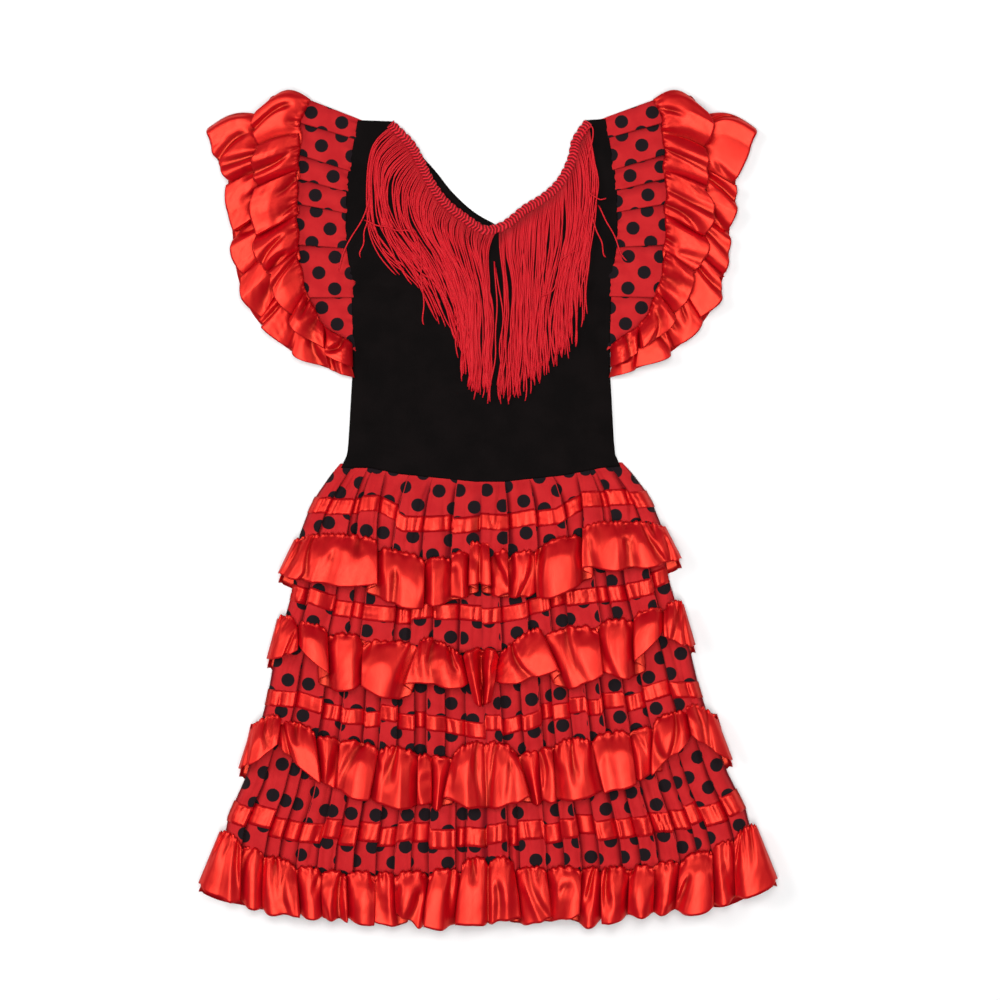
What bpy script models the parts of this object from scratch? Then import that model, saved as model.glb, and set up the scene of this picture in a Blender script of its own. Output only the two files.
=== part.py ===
"""A child's flamenco dress, laid flat on its back with the front up.

A black knit bodice with a V neck, gimp braid and fringe, four skirt tiers, and frilled
cap sleeves. Each tier is a pleated spotted panel, a satin ribbon across it and a satin
ruffle at its foot, in a front and a back half that meet at the side folds.

Metres, +Z up, the neck towards +Y. The origin is under the middle of the dress, on the
surface that it lies on. The tables are in millimetres, which MM turns into metres: y is
the place up the dress, and out is the distance outwards from the dress's middle line.
"""
import math
from collections import namedtuple

import bmesh
import bpy
from mathutils import Vector

# ---------------------------------------------------------------- driving sizes
MM = 0.001
WALL = 1.0                 # cloth, with the softness of its folds
CLEAR = 0.3                # between pieces at a seam
HIDDEN_GAP = 1.2           # between the edges of two pieces under a ruffle's header
ARMHOLE_GAP = 0.8
STEP = WALL + CLEAR        # from one layer's middle to the next one's
RISER = 1.2                # width of the drop at a fold's edge

BODICE_BACK_Z = 0.5        # middle of the bodice back's wall, which lies on the floor
BODICE_FRONT_Z = 2.0
BODICE_PUFF = 2.0          # slack in the middle of the bodice front
SKIRT_BACK_Z = 4.4         # middle of the back panels, over the back ruffles
SKIRT_FRONT_Z = 6.0
SKIRT_RAMP = (22.0, -20.0)   # y where the skirt starts to rise, and where it has risen

PLEAT_DEPTH = 2.0
WAIST_PLEAT = 0.3          # share of their depth that the pleats have at the waist
BACK_PLEAT_DEPTH = 0.7
RUFFLE_LIFT = 2.0          # rise of a ruffle off its seam
RUFFLE_LIFTED, RUFFLE_SPREAD = 0.4, 0.7     # share down a ruffle at which its rise is full
GATHERED = 0.2             # share of their height that petals have at the seam
PETAL_STEP = 4.5           # height of a petal's edge over the petal under it
CENTRE_RISE = 0.6          # of a petal's step, where both halves meet at the middle
BACK_WAVE = 1.6
LAST_HEM_DROP = 6.0        # the lowest ruffle's hem lies on the back ruffle
SIDE_ROLL = ((0.0, 1.0), (0.4, 0.5), (2.4, 0.0))   # distance in, share turned down
FOLD_HALF = 0.8            # from the side fold's level to the middle of either wall
MITRE_LEAST = 0.6
WIDEST_PLEAT, WIDEST_PETAL, WIDEST_BACK = 60, 9, 40
MOST_PARTS = 3
HEADER = 2.5               # height of a ruffle's gathered edge over its seam

BRAID_WIDTH, BRAID_HEIGHT, BRAID_EDGE = 8.0, 2.2, 1.0
STRIP_WIDTH = 2.0
CORD_WIDTH, CORD_THICK, CORDS_PER_SIDE = 1.3, 1.0, 34
CORD_LAYERS = 3

# ---------------------------------------------------------------- outline tables
# Middle line of the dress, and how much higher its right half lies.
Middle = namedtuple("Middle", "y x raised")
MIDDLE = (
    Middle(311, -5.0, 1), Middle(34, -5.5, 1), Middle(-20, -6.5, 10), Middle(-50, -6.5, 12),
    Middle(-120, -5.5, 11), Middle(-190, -2.5, 7), Middle(-260, 0, 5), Middle(-330, 0, 3),
)
RAISE_FADE = 75            # distance out over which the right half's rise comes in

# Half width of the bodice, at the armhole and below it, and of the skirt panels.
BODICE_SIDE = (
    (311, 99), (261, 108), (215, 109), (180, 104), (142, 103), (107, 103), (54, 106),
    (43, 107), (32, 112),
)
SKIRT_SIDE = (
    (34, 111), (22, 121), (8, 131), (-6, 138), (-22, 144), (-46, 147), (-66, 150), (-91, 157),
    (-122, 166), (-150, 172), (-170, 178), (-190, 184), (-214, 192), (-243, 206), (-270, 212),
)
WAIST = ((-118, 32), (-95, 32), (-70, 27), (-10, 21), (12, 21), (60, 26), (90, 32), (105, 33))
FRONT_NECK = (
    (-76, 309), (-60, 293), (-51, 277), (-43, 261), (-32, 246), (-17, 234), (-5, 226), (2, 225),
    (13, 229), (28, 241), (44, 251), (56, 263), (64, 279), (68, 295), (78, 310),
)
BACK_NECK = (
    (-76, 309), (-54, 283), (-40, 267), (-29, 253), (-13, 238), (2, 229), (12, 226), (35, 238),
    (51, 248), (62, 262), (69, 278), (74, 297), (78, 310),
)
STRAP_OUTER = ((-104, 310), (94, 311))

# ---------------------------------------------------------------- skirt tables
# A row is one fold of half a panel or ruffle, from the side towards the middle. over is
# 1 where it lies over its outer neighbour, -1 where it lies under it.
Pleat = namedtuple("Pleat", "top low over")
Petal = namedtuple("Petal", "top low over seam_out seam_in hem_out hem_in puff")
Tier = namedtuple("Tier", "seam ribbon ribbon_height rows pleats petals")

TIERS = (
    Tier(
        seam=((0, -42), (30, -43), (60, -40), (90, -36), (120, -31), (150, -28)),
        ribbon=((0, -3), (22, -4), (60, -4), (80, 7), (124, 10)),
        ribbon_height=13,
        rows=(0.0, 0.32, 0.64, 1.0),
        pleats=(
            Pleat(102, 132, -1), Pleat(90, 108, -1), Pleat(76, 83, -1),
            Pleat(56, 69, 1), Pleat(37, 45, 1), Pleat(18, 22, 1),
        ),
        petals=(
            Petal(148, 161, 0, -25, -25, -52, -58, 3.0),
            Petal(82, 82, -1, -34, -42, -70, -79, 3.0),
            Petal(44, 46, -1, -43, -43, -74, -73, 0.5),
            Petal(22, 22, 1, -36, -37, -70, -69, 2.0),
            Petal(7, 8, 1, -27, -27, -59, -58, 1.5),
        ),
    ),
    Tier(
        seam=((0, -115), (30, -114), (60, -112), (90, -109), (120, -104), (160, -97)),
        ribbon=((0, -76), (50, -78), (90, -76), (120, -70), (150, -60)),
        ribbon_height=13,
        rows=(0.0, 0.40, 0.77, 1.0),
        pleats=(
            Pleat(112, 124, -1), Pleat(88, 96, 1), Pleat(67, 72, -1),
            Pleat(52, 56, 1), Pleat(35, 38, 1), Pleat(14, 16, 1),
        ),
        petals=(
            Petal(162, 171, 0, -88, -92, -120, -112, 3.0),
            Petal(146, 146, -1, -93, -98, -106, -128, 3.0),
            Petal(122, 122, -1, -103, -105, -143, -139, 2.0),
            Petal(93, 95, 1, -108, -111, -140, -152, 4.0),
            Petal(47, 60, 1, -103, -120, -136, -138, 4.0),
            Petal(14, 6, 1, -117, -112, -152, -156, 1.5),
        ),
    ),
    Tier(
        seam=((0, -199), (40, -199), (80, -196), (120, -189), (155, -181), (186, -175)),
        ribbon=((0, -168), (60, -161), (110, -158), (150, -148)),
        ribbon_height=13,
        rows=(0.0, 0.40, 0.86, 1.0),
        pleats=(
            Pleat(139, 158, -1), Pleat(120, 135, -1), Pleat(104, 116, 1), Pleat(77, 84, 1),
            Pleat(54, 58, -1), Pleat(42, 46, 1), Pleat(12, 14, 1),
        ),
        petals=(
            Petal(186, 197, 0, -176, -166, -207, -186, 3.0),
            Petal(161, 165, -1, -172, -178, -186, -215, 3.0),
            Petal(135, 132, -1, -184, -186, -216, -222, 1.5),
            Petal(115, 118, 1, -187, -192, -222, -230, 3.5),
            Petal(85, 94, -1, -193, -196, -230, -236, 3.0),
            Petal(53, 54, 1, -196, -197, -234, -234, 1.0),
            Petal(43, 45, -1, -199, -200, -236, -237, 0.5),
            Petal(25, 33, 1, -195, -188, -228, -238, 4.0),
        ),
    ),
    Tier(
        seam=((0, -293), (60, -294), (110, -293), (150, -288), (180, -279), (214, -263)),
        ribbon=((0, -254), (100, -252), (150, -246), (180, -238), (200, -232)),
        ribbon_height=16,
        rows=(0.0, 0.40, 0.84, 1.0),
        pleats=(
            Pleat(166, 198, -1), Pleat(150, 180, -1), Pleat(128, 152, 1), Pleat(106, 124, -1),
            Pleat(80, 91, -1), Pleat(64, 74, 1), Pleat(42, 46, 1), Pleat(25, 27, -1),
            Pleat(14, 16, 1),
        ),
        petals=(
            Petal(214, 231, 0, -258, -268, -299, -312, 3.0),
            Petal(196, 198, -1, -270, -277, -312, -318, 1.5),
            Petal(178, 178, 1, -279, -286, -318, -322, 3.5),
            Petal(153, 150, -1, -288, -290, -322, -324, 2.0),
            Petal(132, 130, 1, -291, -292, -324, -325, 2.0),
            Petal(113, 112, -1, -293, -293, -325, -328, 3.5),
            Petal(90, 91, -1, -293, -293, -329, -332, 1.0),
            Petal(74, 72, 1, -293, -293, -320, -331, 3.5),
            Petal(46, 50, 1, -291, -291, -326, -331, 3.0),
            Petal(20, 25, 1, -282, -282, -325, -326, 4.0),
        ),
    ),
)
# The back hangs in fewer, flatter folds: shares of the half width from side to middle.
BACK_PLEAT_SHARES = (0.70, 0.32)
BACK_PETAL_SHARES = (1.0, 0.62, 0.24)
BACK_RUFFLE_LENGTHS = (32, 38, 38, 35)
BACK_RIBBON_DROPS = (12, 0, 0, 0)           # how much lower the ribbon lies on the back
BACK_OVERS = (0, 1, -1)
BACK_PUFF = 0.3
BACK_SETTLED, BACK_WAVED = 0.3, 0.5         # share down at which it lies flat, and waves

# ---------------------------------------------------------------- sleeve tables
# Curves from the shoulder fold to the underarm, as (out, y).
YOKE_SEAM = (
    (138, 326), (145, 308), (146, 290), (148, 246), (146, 194), (138, 165), (127, 146), (109, 131),
)
UPPER_HEM = (
    (174, 320), (180, 306), (178, 272), (180, 251), (180, 212), (163, 173), (146, 142), (107, 112),
)
LOWER_SEAM = (
    (178, 314), (177, 300), (173, 272), (167, 240), (164, 205), (152, 168), (132, 140), (111, 123),
)
LOWER_HEM = (
    (219, 303), (206, 275), (202, 252), (198, 226), (192, 184), (178, 151), (147, 122), (106, 104),
)
ARMHOLE_STEPS = 6          # rows of the bodice, from the shoulder to the underarm
Flare = namedtuple("Flare", "share over puff")
YOKE_PLEATS = tuple(
    Flare(share, -1, 0) for share in (0.0, 0.09, 0.22, 0.31, 0.40, 0.55, 0.76)
)
UPPER_FLARES = (
    Flare(0.00, 0, 2.0), Flare(0.15, 1, 2.5), Flare(0.29, 1, 2.5), Flare(0.44, -1, 2.0),
    Flare(0.58, 1, 3.0), Flare(0.74, 1, 2.5), Flare(0.88, -1, 1.5),
)
LOWER_FLARES = (
    Flare(0.00, 0, 2.0), Flare(0.20, 1, 2.0), Flare(0.35, -1, 2.0), Flare(0.50, 1, 2.0),
    Flare(0.64, -1, 2.0), Flare(0.78, 1, 2.0), Flare(0.90, -1, 1.0),
)
PLAIN_FLARE = (Flare(0.0, 0, 0.0),)
YOKE_RISE = 2.0            # the yoke's seam lies this much higher than its armhole
YOKE_RISEN, BACK_YOKE_RISEN = 0.8, 0.6      # share of a yoke's width at which it is full
YOKE_GATHER = 0.4          # share of their height that the yoke's pleats have at the armhole
BACK_YOKE_RISE = 1.7
BACK_LOWER_START = 0.7     # share of its width at which the back lower ruffle comes down
LOWER_START = 0.3
UPPER_BULGE, LOWER_BULGE = 10, 6            # how far the ruffles' shoulder ends stand up
WIDEST = {YOKE_PLEATS: 60, UPPER_FLARES: 16, LOWER_FLARES: 16, PLAIN_FLARE: 26}
UPPER_LIFT, LOWER_DROP, LOWER_STEP = 1.2, 1.6, 2.0
EDGE_SHIFT = 2.0           # how far a hidden edge starts beyond the seam over it
SLEEVE_STEP = 4.0
SLEEVE_PLEAT = 1.4

# ---------------------------------------------------------------- fringe tables
# Guides for half the fringe: the share of the neckline, then three points of the cord.
Guide = namedtuple("Guide", "share knee_x knee_y calf_x calf_y end_x end_y")
LEFT_CORDS = (
    Guide(0.00, -93, 270, -97, 240, -76, 197), Guide(0.15, -82, 246, -80, 218, -67, 192),
    Guide(0.30, -67, 226, -64, 206, -55, 188), Guide(0.45, -52, 214, -50, 182, -43, 157),
    Guide(0.60, -38, 198, -38, 170, -34, 138), Guide(0.75, -25, 194, -26, 154, -24, 114),
    Guide(0.88, -13, 190, -15, 142, -12, 94), Guide(1.00, -1, 186, -2, 138, -2, 93),
)
RIGHT_CORDS = (
    Guide(0.00, 89, 270, 92, 234, 91, 200), Guide(0.15, 81, 250, 84, 214, 83, 174),
    Guide(0.30, 69, 230, 74, 190, 74, 150), Guide(0.45, 59, 214, 66, 174, 64, 133),
    Guide(0.60, 46, 202, 52, 158, 53, 114), Guide(0.75, 32, 190, 38, 146, 42, 101),
    Guide(0.88, 19, 182, 24, 138, 27, 94), Guide(1.00, 9, 182, 11, 138, 15, 94),
)
CORD_STATIONS = (0.0, 0.30, 0.65, 1.0)
ROOT_REACH = 2.0           # how far a cord stands out before it falls
CORD_UNEVEN = (0, 5, -4, 2, -6, 4, -2)      # how the cords' ends differ, in turn


# ---------------------------------------------------------------- small helpers
def mix(start, end, share):
    """The value that lies the given share of the way from start to end."""
    return start + (end - start) * share


def smooth(share):
    """A share from 0 to 1 that starts and ends gently."""
    share = min(max(share, 0.0), 1.0)
    return share * share * (3.0 - 2.0 * share)


def look_up(rows, key):
    """Second column of a table at a key in its first, which rises or falls."""
    if rows[0][0] > rows[-1][0]:
        rows = rows[::-1]
    if key <= rows[0][0]:
        return rows[0][1]
    for before, after in zip(rows, rows[1:]):
        if key <= after[0]:
            return mix(before[1], after[1], (key - before[0]) / (after[0] - before[0]))
    return rows[-1][1]


def along(points, share):
    """Point on the smooth curve through (x, y) points, by share of its length."""
    lengths = [math.dist(a, b) for a, b in zip(points, points[1:])]
    reach = share * sum(lengths)
    span = 0
    while span < len(lengths) - 1 and reach > lengths[span]:
        reach -= lengths[span]
        span += 1
    part = min(reach / lengths[span], 1.0)
    before = Vector(points[max(span - 1, 0)])
    start, end = Vector(points[span]), Vector(points[span + 1])
    after = Vector(points[min(span + 2, len(points) - 1)])
    leave, arrive = (end - before) / 2, (after - start) / 2
    square, cube = part * part, part ** 3
    return (start * (2 * cube - 3 * square + 1) + leave * (cube - 2 * square + part)
            + end * (3 * square - 2 * cube) + arrive * (cube - square))


def middle_at(y):
    """The middle line's x, and the right half's rise, at a place up the dress."""
    return look_up([(row.y, row.x) for row in MIDDLE], y), look_up([(r.y, r.raised) for r in MIDDLE], y)


def placed(side, out, y):
    """Plan position of a point of half the dress: side is -1 at the left, 1 at the right."""
    middle, raised = middle_at(y)
    lift = raised * smooth(out / RAISE_FADE) if side > 0 else 0.0
    return middle + side * out, y + lift


def risen(y, low, high):
    """Height of a layer that climbs from the bodice's level to the skirt's."""
    start, end = SKIRT_RAMP
    return mix(low, high, smooth((start - y) / (start - end)))


def front_level(y):
    """Middle of the front panels' wall where no pleat is raised."""
    return risen(y, BODICE_FRONT_Z, SKIRT_FRONT_Z)


def back_level(y):
    """Middle of the back panels' wall where no pleat is raised."""
    return risen(y, BODICE_BACK_Z, SKIRT_BACK_Z)


def fold_level(y):
    """Height at which front and back meet at the side folds."""
    return (front_level(y) + back_level(y)) / 2


# ---------------------------------------------------------------- cloth walls
def tangent(before, here, after, square_to=Vector((0, 0, 0))):
    """Direction of a line of points through the middle one, halfway round its bend.

    The bend is the one seen along square_to. The direction is shorter the sharper it is.
    """
    legs = []
    for leg in (here - before, after - here):
        leg = leg - square_to * leg.dot(square_to)
        if leg.length > 0:
            legs.append(leg.normalized())
    return sum(legs, Vector((0, 0, 0))) / len(legs)


def outward(rows):
    """Offset at each point of a surface that keeps a wall even: a unit normal, mitred."""
    offsets = []
    last_row, last = len(rows) - 1, len(rows[0]) - 1
    for r, row in enumerate(rows):
        line = []
        for c, here in enumerate(row):
            down = tangent(rows[max(r - 1, 0)][c], here, rows[min(r + 1, last_row)][c]).normalized()
            across = tangent(row[max(c - 1, 0)], here, row[min(c + 1, last)], down)
            normal = across.cross(down).normalized()
            normal = -normal if normal.z < 0 else normal
            line.append(normal / max(across.length, MITRE_LEAST))
        offsets.append(line)
    return offsets


def moved_out(rows, distance):
    """The points of a surface, moved out along its normals."""
    return [
        [here + lean * distance for here, lean in zip(row, leans)]
        for row, leans in zip(rows, outward(rows))
    ]


def cloth(name, rows, material):
    """A closed wall of cloth round the points of its middle surface, row by row."""
    mesh = bpy.data.meshes.new(name)
    bm = bmesh.new()
    across, down = len(rows[0]) - 1, len(rows) - 1
    bmesh.ops.create_grid(bm, x_segments=across, y_segments=down, size=0.5)
    bmesh.ops.triangulate(bm, faces=bm.faces[:])
    under = bm.verts[:]
    extruded = bmesh.ops.extrude_face_region(bm, geom=bm.faces[:], use_keep_orig=True)
    upper = [item for item in extruded["geom"] if isinstance(item, bmesh.types.BMVert)]
    for skin, distance in ((under, -WALL / 2), (upper, WALL / 2)):
        places = moved_out(rows, distance)
        for vert in skin:
            place = places[round((vert.co.y + 0.5) * down)][round((vert.co.x + 0.5) * across)]
            vert.co = Vector((place.x, place.y, max(place.z, 0.0))) * MM
    return finish(name, bm, mesh, material)


def finish(name, bm, mesh, material):
    """Turn a closed bmesh into a named object of the scene, in its material."""
    bmesh.ops.recalc_face_normals(bm, faces=bm.faces[:])
    if bm.calc_volume(signed=True) < 0:
        bmesh.ops.reverse_faces(bm, faces=bm.faces[:])
    bm.to_mesh(mesh)
    bm.free()
    mesh.materials.append(material)
    mesh.shade_smooth()
    mesh.set_sharp_from_angle(angle=math.radians(50))
    piece = bpy.data.objects.new(name, mesh)
    bpy.context.scene.collection.objects.link(piece)
    return piece


def dressed(name, colour, roughness):
    """A Principled material of one colour."""
    material = bpy.data.materials.new(name)
    material.use_nodes = True
    shader = material.node_tree.nodes["Principled BSDF"]
    shader.inputs["Base Color"].default_value = (*colour, 1.0)
    shader.inputs["Roughness"].default_value = roughness
    shader.inputs["Metallic"].default_value = 0.0
    return material


# ---------------------------------------------------------------- folds of a strip
# A column of a strip: where it starts and ends, its height at the hem, and how far it
# has turned down into the side fold, from 0 to 1.
Column = namedtuple("Column", "top low y_top y_low rise roll")


def fold_columns(folds, step, middle_rise, widest):
    """Columns of half a strip, from its side fold to its middle, with a drop at each edge.

    A fold has a column at least every so many millimetres, as widest says.
    """
    columns = []
    for index, fold in enumerate(folds):
        last = index == len(folds) - 1
        inner = folds[index + 1] if not last else fold._replace(top=0, low=0, over=0)
        outer_edge = edge_line(folds[index - 1], fold, fold.over < 0, True)
        inner_edge = edge_line(fold, inner, inner.over > 0, False)
        outer_rise = step if fold.over > 0 else 0
        inner_rise = middle_rise if last else (step if inner.over < 0 else 0)
        parts = min(1 + int((fold.low - inner.low) / widest), MOST_PARTS)
        for part in range(parts + 1):
            share = part / parts
            columns.append(Column(
                mix(outer_edge[0], inner_edge[0], share),
                mix(outer_edge[1], inner_edge[1], share),
                mix(fold.seam_out, fold.seam_in, share),
                mix(fold.hem_out, fold.hem_in, share),
                mix(outer_rise, inner_rise, share) + fold.puff * math.sin(math.pi * share),
                0.0,
            ))
    return columns


def edge_line(outer, inner, is_under, is_inner):
    """Distances out, at seam and hem, of one side of the edge between two folds.

    The lower fold's side lies on the upper one's edge line, one riser past it.
    """
    if not is_under:
        return inner.top, inner.low
    if is_inner:
        upper_seam, upper_hem, seam, hem = outer.seam_in, outer.hem_in, inner.seam_out, inner.hem_out
    else:
        upper_seam, upper_hem, seam, hem = inner.seam_out, inner.hem_out, outer.seam_in, outer.hem_in
    slope = (inner.low - inner.top) / (upper_hem - upper_seam) if upper_hem != upper_seam else 0.0
    shift = -RISER if is_inner else RISER
    top = inner.top + slope * (seam - upper_seam) + shift
    low = inner.low + slope * (hem - upper_hem) + shift
    return top, low


def side_rolled(columns):
    """The same columns, with the outermost ones turned down into the side fold."""
    edge = columns[0]
    rolled = []
    for inwards, roll in SIDE_ROLL:
        rolled.append(edge._replace(top=edge.top - inwards, low=edge.low - inwards, rise=0, roll=roll))
    return rolled + columns[1:]


def both_halves(columns):
    """(side, column) for a whole strip, from the left fold to the right one."""
    left = [(-1, column) for column in columns]
    right = [(1, column) for column in columns[-2::-1]]
    return left + right


def strip_rows(columns, shares, height, side_height):
    """Middle-surface points of a ruffle, a row for each share of the way down it."""
    rows = []
    for share in shares:
        row = []
        for side, column in both_halves(columns):
            y = mix(column.y_top, column.y_low, share)
            place = placed(side, mix(column.top, column.low, share), y)
            z = mix(height(y, share, column.rise), side_height(y, share), column.roll)
            row.append(Vector((*place, z)))
        rows.append(row)
    return rows


# ---------------------------------------------------------------- skirt
RUFFLE_SHARES = (0.0, 0.15, 0.5, 1.0)
BACK_SHARES = (0.0, 0.3, 1.0)


def upper_edge(tier, side, out):
    """Place of a panel's upper edge, under the bodice or the seam above."""
    if tier == 0:
        x = middle_at(WAIST[0][1])[0] + side * out
        return Vector((x, look_up(WAIST, x) - HIDDEN_GAP))
    return Vector(placed(side, out, look_up(TIERS[tier - 1].seam, out) - HIDDEN_GAP))


def panel_columns(tier, pleats, step, middle_rise):
    """Columns of half a panel: the distances out of its pleats, and their rise."""
    top_y = WAIST[0][1] if tier == 0 else TIERS[tier - 1].seam[-1][1]
    edge = Pleat(look_up(SKIRT_SIDE, top_y), look_up(SKIRT_SIDE, TIERS[tier].seam[-1][1]), 0)
    folds = [Petal(*pleat, top_y, top_y, 0, 0, 0) for pleat in (edge,) + tuple(pleats)]
    return fold_columns(folds, step, middle_rise, WIDEST_PLEAT)


def panel_rows(tier, columns, level, direction):
    """Middle-surface points of a panel: direction is 1 for the front, -1 for the back."""
    depths = (WAIST_PLEAT if tier == 0 else 0.0, 1.0, 1.0, 1.0)
    low_y = TIERS[tier].seam[-1][1]
    rows = []
    for share, depth in zip(TIERS[tier].rows, depths):
        row = []
        for side, column in both_halves(columns):
            top = upper_edge(tier, side, column.top)
            low = Vector(placed(side, column.low, look_up(TIERS[tier].seam, column.low)))
            place = top.lerp(low, share)
            y = mix(column.y_top, low_y, share)
            straight = mix(look_up(SKIRT_SIDE, column.y_top), look_up(SKIRT_SIDE, low_y), share)
            middle = middle_at(place.y)[0]
            place.x = middle + (place.x - middle) * look_up(SKIRT_SIDE, y) / straight
            row.append(Vector((*place, level(place.y) + direction * column.rise * depth)))
        rows.append(row)
    return rows


def ribbon_rows(tier, panel, direction):
    """Points of the ribbon, made from its panel's points, moved out by one layer."""
    outer = moved_out(panel, direction * STEP)
    drop = BACK_RIBBON_DROPS[tier] if direction < 0 else 0
    rows = []
    for height in (0, TIERS[tier].ribbon_height):
        row = []
        for column in range(len(panel[0])):
            line = [points[column] for points in outer]
            out = line[1].x - middle_at(line[1].y)[0]
            side = -1 if out < 0 else 1
            level = look_up(TIERS[tier].ribbon, abs(out)) - drop - height
            _, y = placed(side, abs(out), level)
            row.append(point_at_height(line, y))
        rows.append(row)
    return rows


def point_at_height(line, y):
    """Point of a falling line of points at a place down the dress."""
    for before, after in zip(line, line[1:]):
        if y >= after.y:
            break
    return before.lerp(after, (before.y - y) / (before.y - after.y))


def hem_drop(tier, share):
    """How far a front ruffle comes down to the back one: only the lowest tier's does."""
    return LAST_HEM_DROP * smooth(share) if tier == len(TIERS) - 1 else 0.0


def front_ruffle_height(tier):
    """Height rule of a front ruffle: its header clears the panel, its petals stand up."""
    def height(y, share, rise):
        lift = RUFFLE_LIFT * smooth(share / RUFFLE_LIFTED) - hem_drop(tier, share)
        spread = mix(GATHERED, 1.0, smooth(share / RUFFLE_SPREAD))
        return front_level(y) + PLEAT_DEPTH + STEP + lift + rise * spread
    return height


def side_fold_height(tier, offset):
    """Height rule of a ruffle's outermost edge, a little above or below the side fold."""
    def height(y, share):
        return fold_level(y) - hem_drop(tier, share) / 2 + offset
    return height


def back_ruffle_height(y, share, rise):
    """Height rule of a back ruffle, which lies on the floor under the back panels."""
    header = back_level(y) - BACK_PLEAT_DEPTH - STEP
    flat = WALL / 2 + rise * smooth(share / BACK_WAVED)
    return mix(header, flat, smooth(share / BACK_SETTLED))


def back_petals(tier):
    """The petals of a back ruffle, spread over the width of its front one."""
    edge = TIERS[tier].petals[0]
    length = BACK_RUFFLE_LENGTHS[tier]
    rows = []
    for index, (outer, inner) in enumerate(zip(BACK_PETAL_SHARES, BACK_PETAL_SHARES[1:] + (0.0,))):
        seams = [look_up(TIERS[tier].seam, edge.top * share) + HEADER for share in (outer, inner)]
        hems = [seam - HEADER - length for seam in seams]
        if index == 0:
            hems[0] = edge.hem_out
        over = BACK_OVERS[index]
        rows.append(Petal(edge.top * outer, edge.low * outer, over, *seams, *hems, BACK_PUFF))
    return rows


def make_skirt(spots, satin):
    """All the panels, ribbons and ruffles of the four tiers, front and back."""
    for tier, table in enumerate(TIERS):
        name = f"tier_{tier + 1}"
        columns = panel_columns(tier, table.pleats, PLEAT_DEPTH, PLEAT_DEPTH)
        panel = panel_rows(tier, columns, front_level, 1)
        cloth(f"{name}_panel_front", panel, spots)
        cloth(f"{name}_ribbon_front", ribbon_rows(tier, panel, 1), satin)
        petals = side_rolled(fold_columns(table.petals, PETAL_STEP, PETAL_STEP * CENTRE_RISE, WIDEST_PETAL))
        cloth(f"{name}_ruffle_front", strip_rows(
            petals, RUFFLE_SHARES, front_ruffle_height(tier), side_fold_height(tier, FOLD_HALF)), satin)

        half = look_up(SKIRT_SIDE, table.seam[-1][1])
        pleats = [Pleat(half * share, half * share, -1) for share in BACK_PLEAT_SHARES]
        columns = panel_columns(tier, pleats, BACK_PLEAT_DEPTH, 0.0)
        panel = panel_rows(tier, columns, back_level, -1)
        cloth(f"{name}_panel_back", panel, spots)
        cloth(f"{name}_ribbon_back", ribbon_rows(tier, panel, -1), satin)
        petals = side_rolled(fold_columns(back_petals(tier), BACK_WAVE, BACK_WAVE * CENTRE_RISE, WIDEST_BACK))
        cloth(f"{name}_ruffle_back", strip_rows(
            petals, BACK_SHARES, back_ruffle_height, side_fold_height(tier, -FOLD_HALF)), satin)


# ---------------------------------------------------------------- bodice
STRAP_SHARES = (0.0, 0.5)
NECK_COLUMNS = 10
BODICE_ROWS = 9
PUFF_LENGTH = 240.0        # from the waist up, over which the bodice front is slack


def bodice_height(x, y, level, puff):
    """Height of the bodice's middle surface: flat at its edges, slack in the middle."""
    middle, _ = middle_at(y)
    across = 1.0 - min(abs(x - middle) / look_up(BODICE_SIDE, y), 1.0) ** 2
    down = math.sin(math.pi * min(max((y - WAIST[0][1]) / PUFF_LENGTH, 0.0), 1.0))
    return level(y) + puff * across * down


def bodice_columns(neck):
    """Top and waist points of the bodice's columns, from the left armhole to the right."""
    tops = [Vector(STRAP_OUTER[0]).lerp(Vector(neck[0]), share) for share in STRAP_SHARES]
    tops += [along(neck, index / NECK_COLUMNS) for index in range(NECK_COLUMNS + 1)]
    tops += [Vector(neck[-1]).lerp(Vector(STRAP_OUTER[1]), 1.0 - share) for share in STRAP_SHARES[::-1]]
    waist = []
    for index in range(len(tops)):
        x = mix(WAIST[0][0], WAIST[-1][0], index / (len(tops) - 1))
        waist.append(Vector((x, look_up(WAIST, x))))
    return tops, waist


def bodice_edge(side, share):
    """Place of the bodice's side at a share of the way down, and how far it is moved in."""
    end = 0 if side < 0 else -1
    straight = Vector(STRAP_OUTER[end]).lerp(Vector(WAIST[end]), share)
    edge = middle_at(straight.y)[0] + side * look_up(BODICE_SIDE, straight.y)
    return Vector((edge, straight.y)), edge - straight.x


def bodice_rows(neck, level, puff):
    """Points of a bodice half, whose outer columns follow the armhole and side seam."""
    tops, waist = bodice_columns(neck)
    rows = []
    for step in range(BODICE_ROWS + 1):
        share = step / BODICE_ROWS
        row = []
        for index, (top, low) in enumerate(zip(tops, waist)):
            place = top.lerp(low, share)
            across = 2.0 * index / (len(tops) - 1) - 1.0
            x = place.x + bodice_edge(-1 if across < 0 else 1, share)[1] * across * across
            row.append(Vector((x, place.y, bodice_height(x, place.y, level, puff))))
        rows.append(row)
    return rows


def make_bodice(knit):
    """The front, with its V neck, on the back."""
    cloth("bodice_front", bodice_rows(FRONT_NECK, lambda y: BODICE_FRONT_Z, BODICE_PUFF), knit)
    cloth("bodice_back", bodice_rows(BACK_NECK, lambda y: BODICE_BACK_Z, 0.0), knit)


# ---------------------------------------------------------------- sleeves
SLEEVE_SHARES = (0.0, 0.3, 0.65, 1.0)


def armhole_curve(side):
    """The yoke's inner edge, just outside the bodice's side, from shoulder to underarm."""
    middle = MIDDLE[0].x
    curve = []
    for step in range(ARMHOLE_STEPS + 1):
        place, _ = bodice_edge(side, step / BODICE_ROWS)
        curve.append((side * (place.x - middle) + ARMHOLE_GAP, place.y))
    return curve


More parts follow.
